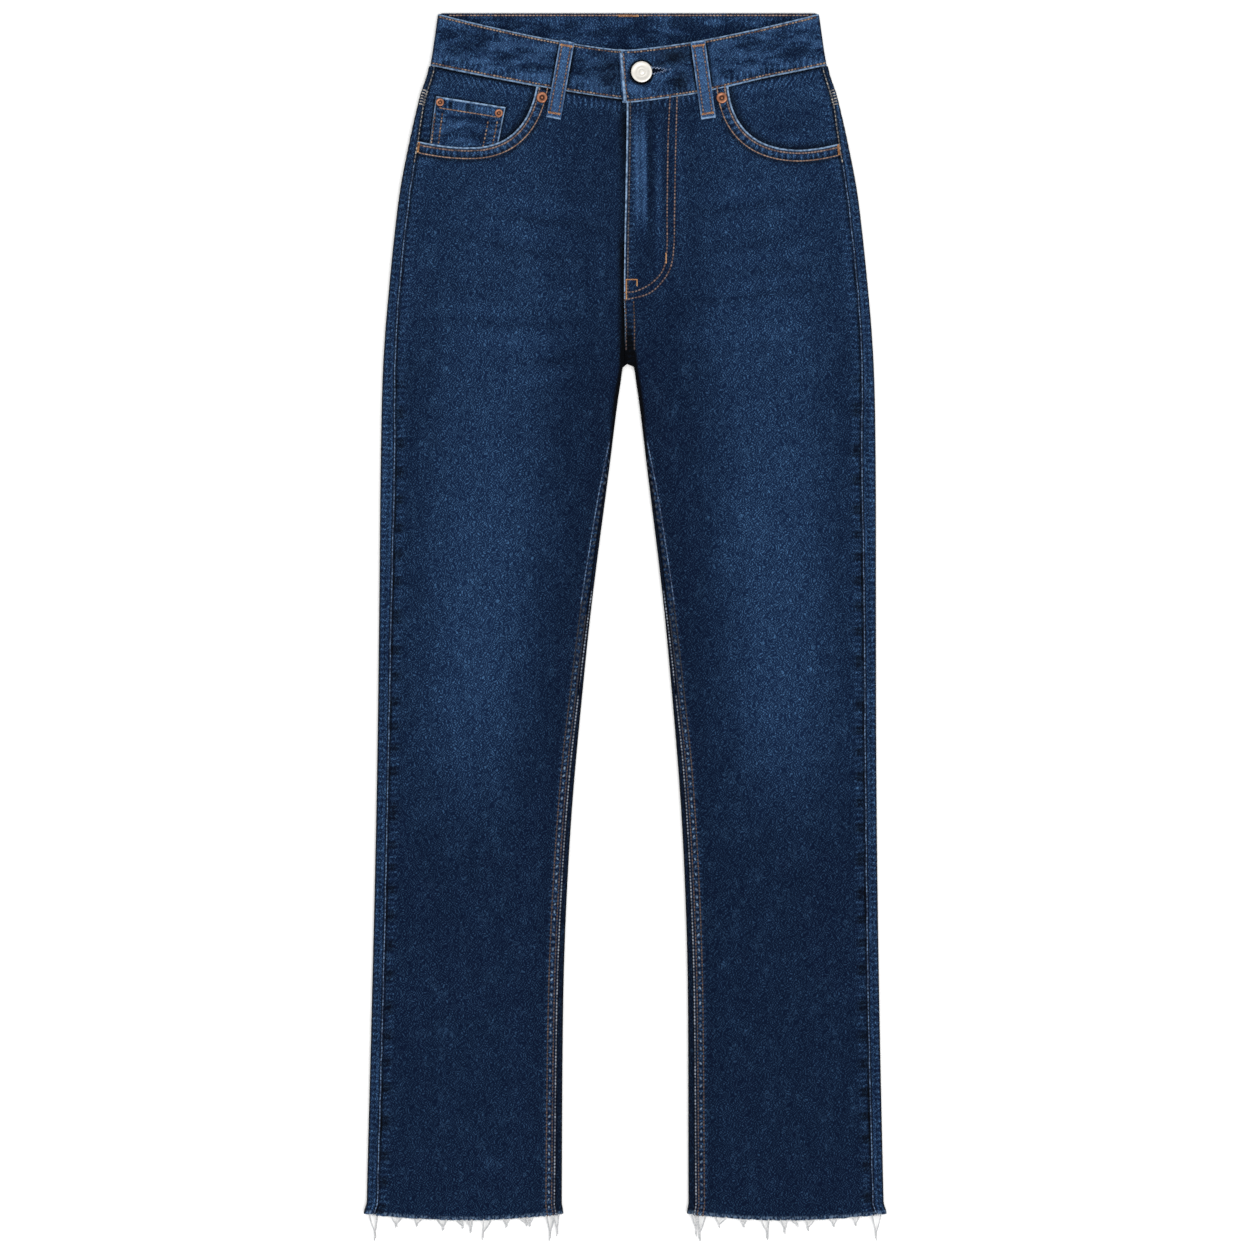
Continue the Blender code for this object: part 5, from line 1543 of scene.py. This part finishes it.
# The dim thread is the tan darkened as painted shade, for the rows in the painted shade by the crotch.
dim_thread = thread("dim_thread", (0.110, 0.066, 0.048), (0.034, 0.022, 0.024))
edge_thread = thread("edge_thread", (0.120, 0.115, 0.130), (0.045, 0.036, 0.044))
brown_thread = thread("brown_thread", (0.110, 0.070, 0.060), (0.050, 0.036, 0.040), -0.16)
pale_thread = thread("pale_thread", (0.300, 0.390, 0.560), (0.090, 0.135, 0.240))
cotton = thread("raw_cotton", (0.64, 0.64, 0.65), (0.56, 0.57, 0.58))
copper = metal("copper", (0.42, 0.19, 0.11), (0.22, 0.085, 0.05), 0.36)
nickel = metal("nickel", (0.74, 0.715, 0.665), (0.66, 0.635, 0.59), 0.42)

for piece in (*fronts.values(), *backs.values(), *yokes.values(), *facings.values()):
    piece.data.materials.append(denim_look)
for piece in (band, coin):
    piece.data.materials.append(band_look)
for piece in loops.values():
    piece.data.materials.append(loop_look)
for piece in rivets.values():
    piece.data.materials.append(copper)
button.data.materials.append(nickel)

# %% [markdown]
# ## Rows on the fronts
#
# The mouths are hemmed with two rows, the fly is held by two rows in a J and one along its edge, and the
# seam below it has a dim row on each side. The band of the inseam carries a white row and two brown ones
# with pale beads between them, and they come out from under the fold one after another. Along each outseam
# runs one thin row, cream near the waist and blue below.

# %% Mouth, fly and seam rows
ROW_KINDS = "tan mouth gold worn rust silver cream white bead brown dim fly_edge".split()
rows = {kind: [] for kind in ROW_KINDS}
FLY_ROWS = (
    (
        (0.0361, 0.0730), (0.0344, 0.1115), (0.0336, 0.1700), (0.0334, 0.2050), (0.0300, 0.2227),
        (0.0204, 0.2340), (0.0074, 0.2410), (-0.0026, 0.2424),
    ),
    (
        (0.0422, 0.0730), (0.0408, 0.1250), (0.0400, 0.1750), (0.0396, 0.2000), (0.0370, 0.2192),
        (0.0291, 0.2332), (0.0170, 0.2436), (-0.0026, 0.2488),
    ),
)
BandRow = namedtuple("BandRow", "offset kind start stop")
BAND_ROWS = (
    BandRow(0.0008, "white", 0.500, SIDE_HEM),
    BandRow(0.0032, "brown", 0.524, SIDE_HEM),
    BandRow(0.0057, "bead", INSEAM_SHOWS, SIDE_HEM),
    BandRow(0.0081, "brown", 0.512, SIDE_HEM),
    BandRow(0.0087, "silver", INSEAM_SHOWS, 0.514),
)
TURNED_OUT = 0.0063
for side in (RIGHT, LEFT):
    mouth = mouth_line(side)
    inner_row, outer_row = (beside(mouth, -offset) for offset in (0.0031, 0.0098))
    for kind, line in (("mouth", inner_row), ("gold", outer_row)):
        below_seam = line[:, 1] > front_band_seam(line[:, 0]) + 0.0008
        within = line[:, 0] < front_outer_edge(line[:, 1]) - 0.001
        rows[kind].append(row_on(side, line[below_seam & within]))
    for offset, kind, start, stop in BAND_ROWS:
        levels = np.arange(start, stop - 0.001, 0.003)
        wrap = read(INNER, "seam_wrap", levels) + GAP + offset - read(TUCKED, "under", levels)
        levels, wrap = levels[wrap > TURNED_OUT], wrap[wrap > TURNED_OUT]
        out = inner_path(side, levels, wrap)[0]
        rows[kind].append(row_on(side, in_plan(out, hung(out, levels))))
    for kind, start, end in (("cream", 0.0500, 0.1300), ("silver", 0.1330, SIDE_HEM - 0.001)):
        levels = np.arange(start, end, 0.003)
        out = front_outer_edge(levels) - 0.0008 - 0.0003 * wobble(levels, 0.011, 140 + side)
        rows[kind].append(row_on(side, in_plan(out, levels)))
for corners in FLY_ROWS:
    rows["tan"].append(row_on(LEFT, smooth_line(corners)))
levels = np.arange(0.0760, 0.2500, 0.002)
rows["fly_edge"].append(row_on(LEFT, in_plan(fly_edge(LEFT, levels) + 0.0031, levels)))
# Rows in the painted shade by the crotch, so their dim thread is painted shade too.
levels = np.arange(0.2510, CROTCH - 0.014, 0.002)
for shift in (0.0010, 0.0082):
    rows["dim"].append(row_on(LEFT, in_plan(fly_edge(LEFT, levels) + shift, levels)))
print("drew", sum(len(paths) for paths in rows.values()), "rows on the fronts")


# %% [markdown]
# ## Rows on the waistband, loops and coin pocket
#
# The band has a row along its top and one along its seam, and a loop has one along each edge. The coin
# pocket is hemmed with one row and sewn on with two down each side. A row also shows inside the back of the
# band.

# %% Waistband rows
def band_line(side, start, from_top, inset):
    """A line along the front of the band, at a distance from its top or from its seam."""
    out = np.arange(start, 0.1640 if from_top else 0.1704, 0.002)
    top, low = front_band_top(out), front_band_seam(out)
    if side == LEFT:
        low = low + 0.0030 * fading(0.050, 0.130, out)
    return in_plan(out, top + inset if from_top else low - inset)


for side, start in ((RIGHT, 0.0075), (LEFT, 0.0)):
    for from_top, inset in ((True, 0.0024), (False, 0.0022)):
        rows["rust"].append(row_on(side, band_line(side, start, from_top, inset)))
tab = smooth_line(((-0.0044, 0.0360), (-0.0034, 0.0500), (-0.0018, 0.0680), (-0.0006, 0.0722)))
rows["tan"].append(row_on(LEFT, tab))
rows["orange_row"] = [row_on(LEFT, in_plan(np.arange(-0.155, 0.1601, 0.002), 0.0009))]
for side in (RIGHT, LEFT):
    top, low, _, sideways = loop_axes(side)
    for hand in (-1, 1):
        edge = hand * sideways * (LOOP_WIDTH / 2 - LOOP_ROW_INSET)
        line = [mix(top, low, t) + edge for t in np.linspace(0.09, 0.93, 40)]
        rows["tan"].append(row_on(side, line, only=loop_surface))
top_row = np.linspace(np.array(COIN_TOP_IN), np.array(COIN_TOP_OUT), 30) + (0.0, 0.0098)
rows["gold"].append(row_on(RIGHT, top_row[3:-2], only=coin_surface))
COIN_SIDE_ROWS = (
    (COIN_TOP_IN, COIN_LOW_IN, 0.0046), (COIN_TOP_IN, COIN_LOW_IN, 0.0126),
    (COIN_TOP_OUT, COIN_LOW_OUT, -0.0012), (COIN_TOP_OUT, COIN_LOW_OUT, -0.0075),
)
for near, far, shift in COIN_SIDE_ROWS:
    line = np.linspace(np.array(near), np.array(far), 24)[6:] + (shift, 0.0)
    rows["worn"].append(row_on(RIGHT, line, only=coin_surface))

# %% [markdown]
# ## Sewing
#
# Each kind of row has its own thread and the pitch, length and width of its stitches.

# %% Sew the rows
Sewing = namedtuple("Sewing", "thread pitch length width")
SEWING = {
    "tan": Sewing(tan_thread, 0.0031, 0.0037, 0.00185),
    "mouth": Sewing(tan_thread, 0.0027, 0.0042, 0.00225),
    "gold": Sewing(gold_thread, 0.0029, 0.0050, 0.00155),
    "rust": Sewing(rust_thread, 0.0028, 0.0034, 0.00215),
    "worn": Sewing(rust_thread, 0.0030, 0.0034, 0.00200),
    "silver": Sewing(silver_thread, 0.0034, 0.0050, 0.00145),
    "cream": Sewing(cream_thread, 0.0036, 0.0044, 0.00150),
    "white": Sewing(white_thread, 0.0029, 0.0034, 0.00180),
    "bead": Sewing(bead_thread, 0.0066, 0.0046, 0.00240),
    "brown": Sewing(brown_thread, 0.0027, 0.0034, 0.00170),
    "dim": Sewing(dim_thread, 0.0029, 0.0034, 0.00180),
    "fly_edge": Sewing(edge_thread, 0.0029, 0.0036, 0.00190),
    "orange_row": Sewing(gold_thread, 0.0030, 0.0040, 0.00170),
}
sewn = {}
for kind, paths in rows.items():
    sewing = SEWING[kind]
    recipe = stitch_recipe("stitches_" + kind, sewing.thread)
    sizes = {"Pitch": sewing.pitch, "Length": sewing.length, "Thread": sewing.width}
    sizes["Uneven"] = 0.8 if kind == "bead" else 0.1
    sewn[kind] = follow("topstitch_" + kind, [path for path in paths if len(path) > 1], recipe, **sizes)
    print(kind, len(sewn[kind].data.polygons), "faces")

# %% [markdown]
# ## Bar tacks
#
# Bar tacks hold the ends of the mouths, the loops, the fly and the hidden loop behind the waist. The yoke
# seams end at the outline in a few cream threads.

# %% Bar tacks
FLY_TACKS = (
    ((-0.0020, 0.2310), (-0.0018, 0.2480)),
    ((0.0326, 0.2080), (0.0328, 0.2170)),
    ((-0.0085, 0.0012), (0.0085, 0.0012)),
    ((-0.0018, 0.2312), (0.0074, 0.2312)),
    ((0.0074, 0.2312), (0.0074, 0.2368)),
)
tacks = []
for side in (RIGHT, LEFT):
    line = mouth_line(side)
    end = line[(line[:, 0] > 0.1805)][0]
    tacks.append((side, ((end[0] + 0.0015, end[1] + 0.0005), (end[0] + 0.0025, end[1] + 0.0090))))
    top, low, direction, sideways = loop_axes(side)
    reach = sideways * (LOOP_WIDTH / 2 - 0.0014)
    for centre in (top + direction * 0.0042, low - direction * 0.0044):
        tacks.append((side, (centre - reach, centre + reach)))
tacks += [(LEFT, ends) for ends in FLY_TACKS]
tack_paths = {"wide": [], "narrow": []}
for side, ends in tacks:
    line = np.linspace(np.array(ends[0]), np.array(ends[1]), 24)
    points = place(side, line[:, 0], line[:, 1], 0.0)
    on_loop = dropped(points, 0.0004, loop_surface)
    weight = "narrow" if side == LEFT and ends[0][1] > 0.20 else "wide"
    tack_paths[weight].append(on_loop if len(on_loop) > 12 else dropped(points, 0.0004))
for weight, width, heavy in (("wide", 0.0016, 0.0010), ("narrow", 0.0008, 0.00075)):
    recipe = tack_recipe("bar_tack_" + weight, orange_thread)
    paths = tack_paths[weight]
    sewn["tack_" + weight] = follow("bar_tacks_" + weight, paths, recipe, Width=width, Thread=heavy)
rungs = []
for side in (RIGHT, LEFT):
    for down in np.arange(0.0668, 0.0800, 0.0024):
        far = half_width(down) - 0.0006
        rungs.append(row_on(side, np.linspace((far - 0.0042, down + 0.0004), (far, down - 0.0006), 8)))
seam_end = tack_recipe("seam_end", cream_thread)
sewn["rungs"] = follow("yoke_seam_ends", rungs, seam_end, Width=0.0, Step=0.0006, Thread=0.00110)
print("sewed", len(tacks), "bar tacks and two seam ends of", len(rungs) // 2, "threads")

# %% [markdown]
# ## Buttonhole
#
# A keyhole is cut in the overlap and its edge is bound with close zigzag thread. The button fills its round
# end, so only the slit beyond the button shows: a dark gap between two bound edges, ending in a small tack.
# The gap's dark is a thin sheet of painted shadow.

# %% Buttonhole
def buttonhole_line(hand):
    """One lip of the slit in plan, the upper one for -1 and the lower one for 1."""
    t = np.linspace(0, 1, 40)
    return in_plan(0.0196 + 0.0135 * t, 0.0500 - 0.0008 * t + hand * 0.0028 * (1 - t) ** 0.8 + hand * 0.0002)


slit_paths = [row_on(LEFT, buttonhole_line(hand), 0.00035) for hand in (-1, 1)]
slit_paths.append(row_on(LEFT, [(0.0350, 0.0488), (0.0366, 0.0488)], 0.00035))
lip = tack_recipe("buttonhole_edge", pale_thread)
sewn["buttonhole"] = follow("bound_buttonhole", slit_paths, lip, Step=0.00125, Width=0.0015, Thread=0.00080)
# A thin dark sheet between the lips stands in for the shadow in the slit: painted shadow.
upper, lower = (row_on(LEFT, buttonhole_line(hand), 0.00006) for hand in (-1, 1))
count = len(upper)
slit_faces = [(i, count + i, count + i + 1, i + 1) for i in range(count - 1)]
slit_mesh = bpy.data.meshes.new("buttonhole_slit")
slit_mesh.from_pydata([tuple(p) for p in upper + lower], [], slit_faces)
slit = linked("buttonhole_slit", slit_mesh)
thick = slit.modifiers.new("depth", "SOLIDIFY")
thick.thickness, thick.offset = 0.0002, -1
sewn["slit"] = plain_mesh(slit, "buttonhole_slit")
shadow = Finish("slit_shadow")
depth_tint = shadow.noise(shadow.stretched(900, 900, 900), 2.0)
slit_colour = shadow.blend(depth_tint, (0.0012, 0.0020, 0.0060, 1), (0.0030, 0.0050, 0.0120, 1))
slit_look = shadow.set(Base_Color=slit_colour, Roughness=0.95, Specular_IOR_Level=0.0)
sewn["slit"].data.materials.append(slit_look)
print("the buttonhole is bound by", len(slit_paths), "rows")

# %% [markdown]
# ## Raw hems
#
# The legs are cut off and washed. The warp is freed at the cut, so it mats into flat locks of pale thread
# that hang below, some of them 20 mm long, and the last few millimetres of cloth loosen into a brush of
# short threads.

# %% Frayed locks
Lock = namedtuple("Lock", "at spread lean length")
LOCKS = {
    RIGHT: (
        Lock(0.020, 0.0030, -0.0006, 0.0195), Lock(0.048, 0.0050, 0.0008, 0.0228),
        Lock(0.155, 0.0036, 0.0006, 0.0090), Lock(0.200, 0.0030, -0.0040, 0.0075),
        Lock(0.278, 0.0040, 0.0002, 0.0080), Lock(0.378, 0.0048, 0.0036, 0.0180),
        Lock(0.470, 0.0034, -0.0010, 0.0118), Lock(0.525, 0.0030, -0.0036, 0.0078),
        Lock(0.612, 0.0056, -0.0010, 0.0098), Lock(0.736, 0.0044, 0.0012, 0.0072),
        Lock(0.848, 0.0060, 0.0002, 0.0096), Lock(0.968, 0.0050, -0.0012, 0.0228),
    ),
    LEFT: (
        Lock(0.020, 0.0032, 0.0018, 0.0195), Lock(0.060, 0.0048, -0.0018, 0.0228),
        Lock(0.160, 0.0070, -0.0020, 0.0096), Lock(0.276, 0.0044, 0.0002, 0.0078),
        Lock(0.388, 0.0048, 0.0022, 0.0180), Lock(0.486, 0.0040, 0.0010, 0.0124),
        Lock(0.532, 0.0030, 0.0040, 0.0066), Lock(0.622, 0.0050, -0.0016, 0.0102),
        Lock(0.742, 0.0046, 0.0004, 0.0076), Lock(0.858, 0.0040, 0.0002, 0.0082),
        Lock(0.966, 0.0056, -0.0002, 0.0228),
    ),
}
OVER_BACK_FRAY, BACK_FRAY_END = 0.0019, 1.0520


def hem_point(side, share, layer):
    """(out, down, height) of the middle of a hem's cut edge, from the inseam at 0 to the outseam at 1."""
    inner = half_gap(SIDE_HEM) + inner_radius(SIDE_HEM)
    outer = half_width(SIDE_HEM) - outer_radius(SIDE_HEM)
    out = mix(inner, outer, share)
    if layer == "back":
        return out, SIDE_HEM, WALL / 2 + 0 * out
    return out, SIDE_HEM + hem_sag(out), front_height(side, out, SIDE_HEM) - WALL / 2


def lock_paths(side):
    paths = []
    for lock in LOCKS[side]:
        out, down, height = (float(value) for value in hem_point(side, lock.at, "front"))
        for hand in (-1, 1):
            root, tip = out + hand * lock.spread * 0.66, out + lock.lean + hand * 0.0004
            length = lock.length * (1.0 if hand == 1 else 0.90)
            along = np.linspace(-0.03, 1, 12)
            bend = np.clip(along, 0, 1)
            path_down = down + length * along
            low = mix(OVER_BACK_FRAY, 0.0007, smooth_step(BACK_FRAY_END, BACK_FRAY_END + 0.006, path_down))
            path_height = mix(height, np.minimum(low, height), smooth_step(0.0, 0.9, bend))
            stray = 0.0005 * bend * wobble(along, 0.4, 200 + int(lock.at * 100))
            path_out = mix(root, tip, np.minimum(1, 1.5 * bend) ** 1.3) + stray
            paths.append(place(side, path_out, path_down, path_height))
    return paths


def fray_recipe(name, material):
    """Splits each path into a flat bundle of fine threads that draw together towards the tip."""
    recipe = Recipe(name, material, {"Threads": 14, "Spread": 0.00062, "Thread": 0.00056, "Wander": 0.0007})
    splines = {"domain": "SPLINE"}
    many = recipe.add(
        "GeometryNodeDuplicateElements", splines, Geometry=recipe.path(), Amount=recipe.size("Threads")
    )
    index = recipe.add("GeometryNodeInputIndex")
    random = recipe.random_vector((-1, -0.5, -0.35), (1, 0.5, 0.35), 7, ID=index)
    per_curve = {"domain": "CURVE", "data_type": "FLOAT_VECTOR"}
    each = recipe.add("GeometryNodeFieldOnDomain", per_curve, _0=random)
    along = recipe.add("GeometryNodeSplineParameter")
    fan = recipe.vector("SCALE", _0=each, Scale=(1.1 - along * 0.50) * recipe.size("Spread"))
    position = recipe.add("GeometryNodeInputPosition")
    sample = recipe.vector("MULTIPLY_ADD", _0=position, _1=(160, 160, 160), _2=each)
    curl = recipe.add("ShaderNodeTexNoise", output=1, Vector=sample, Scale=1.0, Detail=2.0)
    curl = recipe.vector("SUBTRACT", _0=curl, _1=(0.5, 0.5, 0.5))
    curl = recipe.vector("MULTIPLY", _0=curl, _1=(1.0, 0.6, 0.25))
    curl = recipe.vector("SCALE", _0=curl, Scale=along * recipe.size("Wander") * 3.0)
    shift = recipe.vector("ADD", _0=fan, _1=curl)
    moved = recipe.add("GeometryNodeSetPosition", Geometry=many, Offset=shift)
    thin = recipe.add("GeometryNodeSetCurveRadius", Curve=moved, Radius=1.05 - along * 0.40)
    recipe.finish(recipe.tube(thin, 3))
    return recipe


for side in (RIGHT, LEFT):
    key = "locks_" + SIDE_WORD[side]
    sewn[key] = follow("frayed_locks_" + SIDE_WORD[side], lock_paths(side), fray_recipe(key, cotton))
    print(key, len(sewn[key].data.polygons), "faces")


# %% [markdown]
# ## Short threads at the cut
#
# A brush of short threads stands on every hem, a few pale ones among many blue ones. It is longer on the
# back hems, where no locks hang.

# %% Short threads at the cut
def brush_recipe(name, material):
    """Stands a short thread on every step of the hem, each with its own lean and length."""
    reach = 0.0022
    recipe = Recipe(name, material, {"Pitch": 0.0006, "Length": reach, "Thread": 0.00022, "Seed": 3})
    points = recipe.stepped("GeometryNodeCurveToPoints", "Pitch")
    start, middle, end = (0, 0.0012, 0), (0, -0.001, 0.0001), (0.0005, -reach, -0.0004)
    kind = "GeometryNodeCurveQuadraticBezier"
    blade = recipe.tube(recipe.add(kind, Resolution=4, Start=start, Middle=middle, End=end), 3)
    lean = recipe.random_vector((-0.25, -0.2, -0.75), (0.25, 0.2, 0.75), recipe.size("Seed"))
    grow = recipe.random(0.35, 1.25, recipe.size("Seed") + 5.0)
    scale = recipe.add("ShaderNodeCombineXYZ", X=1.0, Y=grow * recipe.size("Length") * (1 / reach), Z=1.0)
    recipe.finish(recipe.copies(points, blade, lean, scale))
    return recipe


def hem_paths(side, layer):
    share = np.linspace(-0.006, 1.006, 120)
    out, down, height = hem_point(side, share, layer)
    return [place(side, out, down + 0 * out, height)]


blue_fray = thread("blue_fray", (0.060, 0.105, 0.180), (0.022, 0.045, 0.090))
pale_fray = thread("pale_fray", (0.230, 0.300, 0.400), (0.120, 0.180, 0.270))
BRUSH_LENGTH = {"front": 0.0008, "back": 0.0017}
BRUSHES = (("pale", pale_fray, 0.0017, 3), ("blue", blue_fray, 0.0006, 11))
for side in (RIGHT, LEFT):
    for layer, length in BRUSH_LENGTH.items():
        for tone, material, pitch, seed in BRUSHES:
            key = f"brush_{tone}_{layer}_{SIDE_WORD[side]}"
            recipe = brush_recipe(key, material)
            sewn[key] = follow(key, hem_paths(side, layer), recipe, Pitch=pitch, Seed=seed, Length=length)
print("frayed", 2 * len(BRUSH_LENGTH), "hems")

# %% [markdown]
# ## Who stands for which solid
#
# Every piece rides on the one body of the part. A cloth piece replaces its solid, and its area is printed
# as a share of its flat cut.

# %% Bodies, solids and cuts
SOLIDS = {
    band: ("waistband", (0.762, 0.046), None),
    coin: ("coin_pocket", (0.064, 0.056), None),
}
for side in (RIGHT, LEFT):
    word = SIDE_WORD[side]
    SOLIDS[fronts[side]] = ("front_" + word, (0.232, 0.985), 0.167)
    SOLIDS[backs[side]] = ("back_" + word, (0.235, 0.962), 0.190)
    SOLIDS[yokes[side]] = ("yoke_" + word, (0.185, 0.073), 0.0093)
    SOLIDS[facings[side]] = ("pocket_facing_" + word, (0.125, 0.105), 0.0106)
    SOLIDS[loops[side]] = ("belt_loop_" + word, (LOOP_WIDTH, 0.068), None)
for piece, (node, flat, area) in SOLIDS.items():
    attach(piece, "root")
    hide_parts(node)
    "denim_worn" if piece in (*loops.values(), coin) else "denim"
for side in (RIGHT, LEFT):
    word = SIDE_WORD[side]
    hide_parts("front_fray_" + word)
    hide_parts("back_fray_" + word)
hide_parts("waist_button")
for node, piece in rivets.items():
    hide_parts(node)
metal_pieces = {button: "nickel", **{piece: "copper" for piece in rivets.values()}}
for piece, slot_name in metal_pieces.items():
    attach(piece, "root")
for key, piece in sewn.items():
    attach(piece, "root")

measured = {}
for piece, (node, flat, area) in SOLIDS.items():
    half = sum(polygon.area for polygon in piece.data.polygons) / 2
    measured[node] = (round(half, 5), round(half / (area or flat[0] * flat[1]), 3))
print(measured)

# %% [markdown]
# ## Table, light and camera
#
# The jeans lie on a pale table under a broad soft light, seen from straight above.

# %% Table, light and camera
bpy.ops.mesh.primitive_plane_add(size=40, location=(0, 0, -0.0002))
table = bpy.context.object
table.name = "table"
pale = Finish("pale_table")
grain = pale.noise(pale.stretched(6, 6, 6), 3.0)
table.data.materials.append(
    pale.set(Base_Color=pale.blend(grain, (0.95, 0.95, 0.945, 1), (0.96, 0.96, 0.955, 1)), Roughness=0.9)
)

world = bpy.data.worlds.new("studio")
world.use_nodes = True
backdrop = world.node_tree.nodes["Background"]
backdrop.inputs["Color"].default_value = (1.0, 1.0, 1.0, 1)
backdrop.inputs["Strength"].default_value = 1.05
bpy.context.scene.world = world
bpy.context.scene.view_settings.view_transform = "Standard"


def lamp(name, energy, size, tilt, turn):
    light = bpy.data.lights.new(name, "SUN")
    light.energy, light.angle = energy, math.radians(size)
    linked(name, light).rotation_euler = (math.radians(tilt), 0, math.radians(turn))


lamp("key_light", 1.30, 45, 34, 35)

SHOT_WIDTH, SHOT_HEIGHT = 1.091, 3.0
view = bpy.data.cameras.new("overhead_camera")
view.sensor_width = 36
view.lens = 36 * (SHOT_HEIGHT - 0.005) / SHOT_WIDTH
overhead = linked("overhead_camera", view)
overhead.location = (0.0016, 0.0017, SHOT_HEIGHT)
bpy.context.scene.camera = overhead
